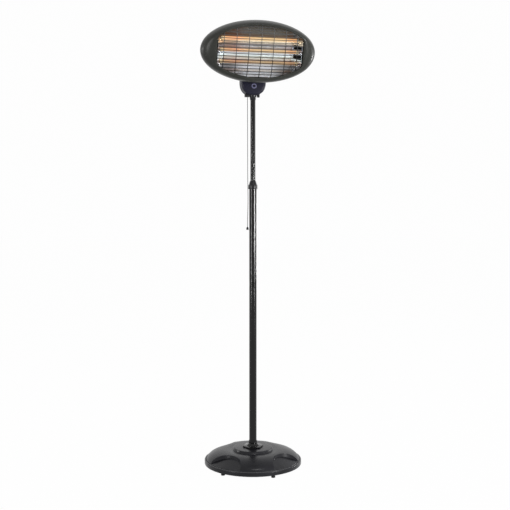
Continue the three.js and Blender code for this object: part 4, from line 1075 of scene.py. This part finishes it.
def ventTools(look):
    slots = []
    for number in range(look["count"]):
        x = (number - (look["count"] - 1) / 2) * look["pitch"]
        half, reach = look["width"] / 2, look["height"] / 2
        outline = arc((x, look["rise"] + reach - half), half, 0, 180, 10)
        outline += arc((x, look["rise"] - reach + half), half, 180, 360, 10)
        slots.append(pulledRings([[(a, y, b) for a, b in outline] for y in (20, 70)]))
    return joinPieces(slots)


def makeShell():
    shell = ellipsoid(0)
    cutAcross(shell, (0, headLook["seam"], 0), (0, 1, 0), clear_inner=True)
    applyModifier(shell, "SOLIDIFY", thickness=headLook["wall"] * mm, offset=-1)
    boolean(shell, ventTools(ventLook))
    roundEdges(shell, 0.5, 2, 50)
    dressHead(shell, "headShell", "olive_grey_aluminium", "head_shell", smooth=30)


makeShell()

hingeLook = {"earOuter": 27.2, "ear": 4, "earRadius": 12, "saddle": 3, "saddleTop": -54, "saddleFoot": -116, "gap": 0.3}


def makeHinge(look):
    centre = (headLook["ahead"], -headLook["rise"])
    outline = [(10, look["saddleTop"]), (49, look["saddleTop"])]
    outline += arc(centre, look["earRadius"], 100, -110, 28) + [(10, look["saddleFoot"])]
    outer, inner = look["earOuter"], look["earOuter"] - look["ear"]
    hinge = ellipsoid(look["gap"] + look["saddle"])
    window = blockPiece((-outer, 0, look["saddleFoot"]), (outer, headLook["ahead"], look["saddleTop"]))
    boolean(hinge, window, "INTERSECT")
    for left, right in ((-outer, -inner), (inner, outer)):
        boolean(hinge, plateAcrossX(outline, left, right), "UNION")
    boolean(hinge, ellipsoid(look["gap"]))
    boolean(hinge, rodAcross(4.3, -60, 60, *centre))
    roundEdges(hinge, 0.7, 2, 45)
    dressHead(hinge, "headHinge", "black_enamel", "head_hinge", smooth=30)


makeHinge(hingeLook)
print("head casing made")


# Grille of round wires

grilleLook = {"wires": 18, "pitch": 12.25, "shift": -2.2, "wireRadius": 1.45, "ribs": 7, "ribPitch": 52,
              "ribRadius": 1.5, "front": 49.8, "bow": 16, "power": 0.7, "tuck": 1.4}


def bowedDepth(x, z):
    look = openingLook
    edge = look["halfHeight"] * math.sqrt(max(1 - (x / look["arcHalfWidth"]) ** 2, 0.01))
    share = max(1 - (x / look["halfWidth"]) ** 2, 0) * max(1 - (z / edge) ** 2, 0)
    return grilleLook["front"] + grilleLook["bow"] * share ** grilleLook["power"]


def wireCurve(points, radius):
    wire = added(bpy.ops.curve.primitive_nurbs_path_add)
    spline = wire.data.splines[0]
    spline.points.add(len(points) - len(spline.points))
    for knot, point in zip(spline.points, points):
        knot.co = (*(Vector(point) * mm), 1)
    spline.use_endpoint_u = True
    wire.data.bevel_depth = radius * mm
    wire.data.bevel_resolution = 2
    wire.data.resolution_u = 2
    wire.data.use_fill_caps = True
    bpy.ops.object.convert(target="MESH")
    return bpy.context.object


# A wire that follows the bow, from one end to the other of its run. At gives x and z along it.
def bowedWire(end, at, behind, radius):
    count = max(int(end / 4), 8)
    run = [at(-end + 2 * end * step / count) for step in range(count + 1)]
    return wireCurve([(x, -bowedDepth(x, z) + behind, z + openingLook["rise"]) for x, z in run], radius)


def makeGrille(look):
    wires = []
    radius, ribRadius, opening = look["wireRadius"], look["ribRadius"], openingLook
    for number in range(look["wires"]):
        z = (number - (look["wires"] - 1) / 2) * look["pitch"] + look["shift"]
        end = min(opening["arcHalfWidth"] * math.sqrt(1 - (z / opening["halfHeight"]) ** 2), opening["halfWidth"])
        wires.append(bowedWire(end + look["tuck"], lambda x: (x, z), radius, radius))
    for number in range(look["ribs"]):
        x = (number - (look["ribs"] - 1) / 2) * look["ribPitch"]
        end = opening["halfHeight"] * math.sqrt(1 - (x / opening["arcHalfWidth"]) ** 2)
        wires.append(bowedWire(end + look["tuck"], lambda z: (x, z), radius * 1.7 + ribRadius, ribRadius))
    grille = joinPieces(wires)
    dressHead(grille, "grilleWires", "wire_steel", "grille", smooth=60)


makeGrille(grilleLook)


# Reflector and heating tubes

reflectorLook = {"sheet": 0.8, "front": 47, "lip": 109, "halfWidth": 178, "backHalfWidth": 146, "pitch": 48.5,
                 "ridge": 3, "flat": 10.5}


def troughHalf(look):
    ridge = look["pitch"] / 2
    points = []
    for z in range(0, int(ridge * 3)):
        fromTube = abs((z + ridge) % look["pitch"] - ridge)
        share = max(fromTube - look["flat"], 0) / (ridge - look["flat"])
        points.append((-look["ridge"] * share ** 1.3, z))
    for step in range(1, 17):
        share = step / 16
        z = ridge * 3 + (look["lip"] - ridge * 3) * share ** 0.75
        points.append((-look["ridge"] - (look["front"] - look["ridge"]) * share ** 1.4, z))
    return points


# The space inside the bezel
def headRoom():
    inset = headLook["wall"] + 0.4
    room = bezelSurface(headLook["frontDepth"] - inset, inset, inset)
    room.insert(0, [(x, 30, z) for x, y, z in room[0]])
    return pulledRings(room)


def makeReflector(look):
    upper = troughHalf(look)
    face = [(y, -z) for y, z in reversed(upper[1:])] + upper
    outline = face + [(y + look["sheet"], z) for y, z in reversed(face)]
    sheet = plateAcrossX(outline, -look["halfWidth"], look["halfWidth"])
    run = look["halfWidth"] - look["backHalfWidth"]
    for side in (-1, 1):
        edge = (side * look["backHalfWidth"], 0, 0)
        cutAcross(sheet, edge, (side * look["front"], run, 0), use_fill=True, clear_outer=True)
    place(sheet, (0, 0, openingLook["rise"]))
    boolean(sheet, headRoom(), "INTERSECT")
    dressHead(sheet, "reflectorSheet", "polished_aluminium", "reflector", smooth=25)


makeReflector(reflectorLook)

tubeLook = {"count": 3, "pitch": 48.5, "ahead": 24, "radius": 6.25, "wall": 1.2, "halfLength": 160}
capLook = {"radius": 8, "start": 157, "end": 186, "bore": 2}
coilLook = {"radius": 3.7, "wire": 0.55, "turns": 60, "steps": 12, "halfLength": 159, "lead": 5}


def tubePlace(number):
    return (0, -tubeLook["ahead"], openingLook["rise"] + (2 - number) * tubeLook["pitch"])


def makeTube(number, look):
    radius, half = look["radius"], look["halfLength"]
    inner = radius - look["wall"]
    profile = [(inner, -half), (radius - 0.3, -half), (radius, -half + 0.3), (radius, half - 0.3)]
    tube = turnedPiece([*profile, (radius - 0.3, half), (inner, half)], 48, ring=True)
    place(tube, tubePlace(number), (0, 90, 0))
    dressHead(tube, f"quartzTube{number}", "quartz_glass", f"quartz_tube_{number}")


def makeCoil(number, look):
    half, lead, radius = look["halfLength"], look["lead"], look["radius"]
    bodyHalf = half - 2 * lead
    x, y, z = tubePlace(number)
    points = [(-half, y, z), (-half + lead, y, z)]
    count = look["turns"] * look["steps"]
    for step in range(count + 1):
        turn = 2 * math.pi * step / look["steps"]
        along = -bodyHalf + 2 * bodyHalf * step / count
        points.append((along, y + radius * math.cos(turn), z + radius * math.sin(turn)))
    points += [(half - lead, y, z), (half, y, z)]
    coil = wireCurve(points, look["wire"])
    dressHead(coil, f"heatingCoil{number}", "glowing_wire", f"heating_coil_{number}", smooth=60)


def makeCap(number, side, word, look):
    start, end, radius, bore = look["start"], look["end"], look["radius"], tubeLook["radius"] + 0.3
    seat = tubeLook["halfLength"] + 0.3
    profile = [(bore, start), (radius - 0.6, start), *arc((radius - 0.6, start + 0.6), 0.6, -90, 0, 3)[1:]]
    profile += [(radius, start + 9), (radius - 0.7, start + 9.7), (radius - 0.7, start + 12.3), (radius, start + 13)]
    profile += [*arc((radius - 1.2, end - 1.2), 1.2, 0, 90, 4), (look["bore"], end), (look["bore"], seat), (bore, seat)]
    cap = turnedPiece(profile, 48, ring=True)
    place(cap, tubePlace(number), (0, side * 90, 0))
    dressHead(cap, f"tubeCap{number}{word.title()}", "tube_ceramic", f"tube_cap_{number}_{word}")


bracketLook = {"sheet": 1.2, "gap": 0.3, "hole": 8.3, "window": 19, "windowRises": (19, -20), "windowDepths": (-46, -7)}


def makeBracket(side, word, look):
    back, front = reflectorLook["backHalfWidth"] + look["gap"], reflectorLook["halfWidth"] + look["gap"]
    depth, lip, rise = reflectorLook["front"], reflectorLook["lip"], openingLook["rise"]
    corners = [(back, 0), (front, -depth), (front + look["sheet"], -depth), (back + look["sheet"], 0)]
    bracket = pulledRings([[(side * x, y, z + rise) for x, y in corners] for z in (-lip, lip)])
    boolean(bracket, headRoom(), "INTERSECT")
    for number in range(1, tubeLook["count"] + 1):
        x, y, z = tubePlace(number)
        boolean(bracket, rodAcross(look["hole"], -300, 300, y, z, 64))
    for middle in look["windowRises"] if side > 0 else ():
        foot, (low, high) = middle + rise - look["window"] / 2, look["windowDepths"]
        boolean(bracket, blockPiece((0, low, foot), (300, high, foot + look["window"])))
    roundEdges(bracket, 0.3, 2, 40)
    dressHead(bracket, f"tubeBracket{word.title()}", "polished_aluminium", f"tube_bracket_{word}")


sides = ((-1, "left"), (1, "right"))
for side, word in sides:
    makeBracket(side, word, bracketLook)
for tubeNumber in range(1, tubeLook["count"] + 1):
    makeTube(tubeNumber, tubeLook)
    makeCoil(tubeNumber, coilLook)
    for side, word in sides:
        makeCap(tubeNumber, side, word, capLook)
print("heating tubes made")
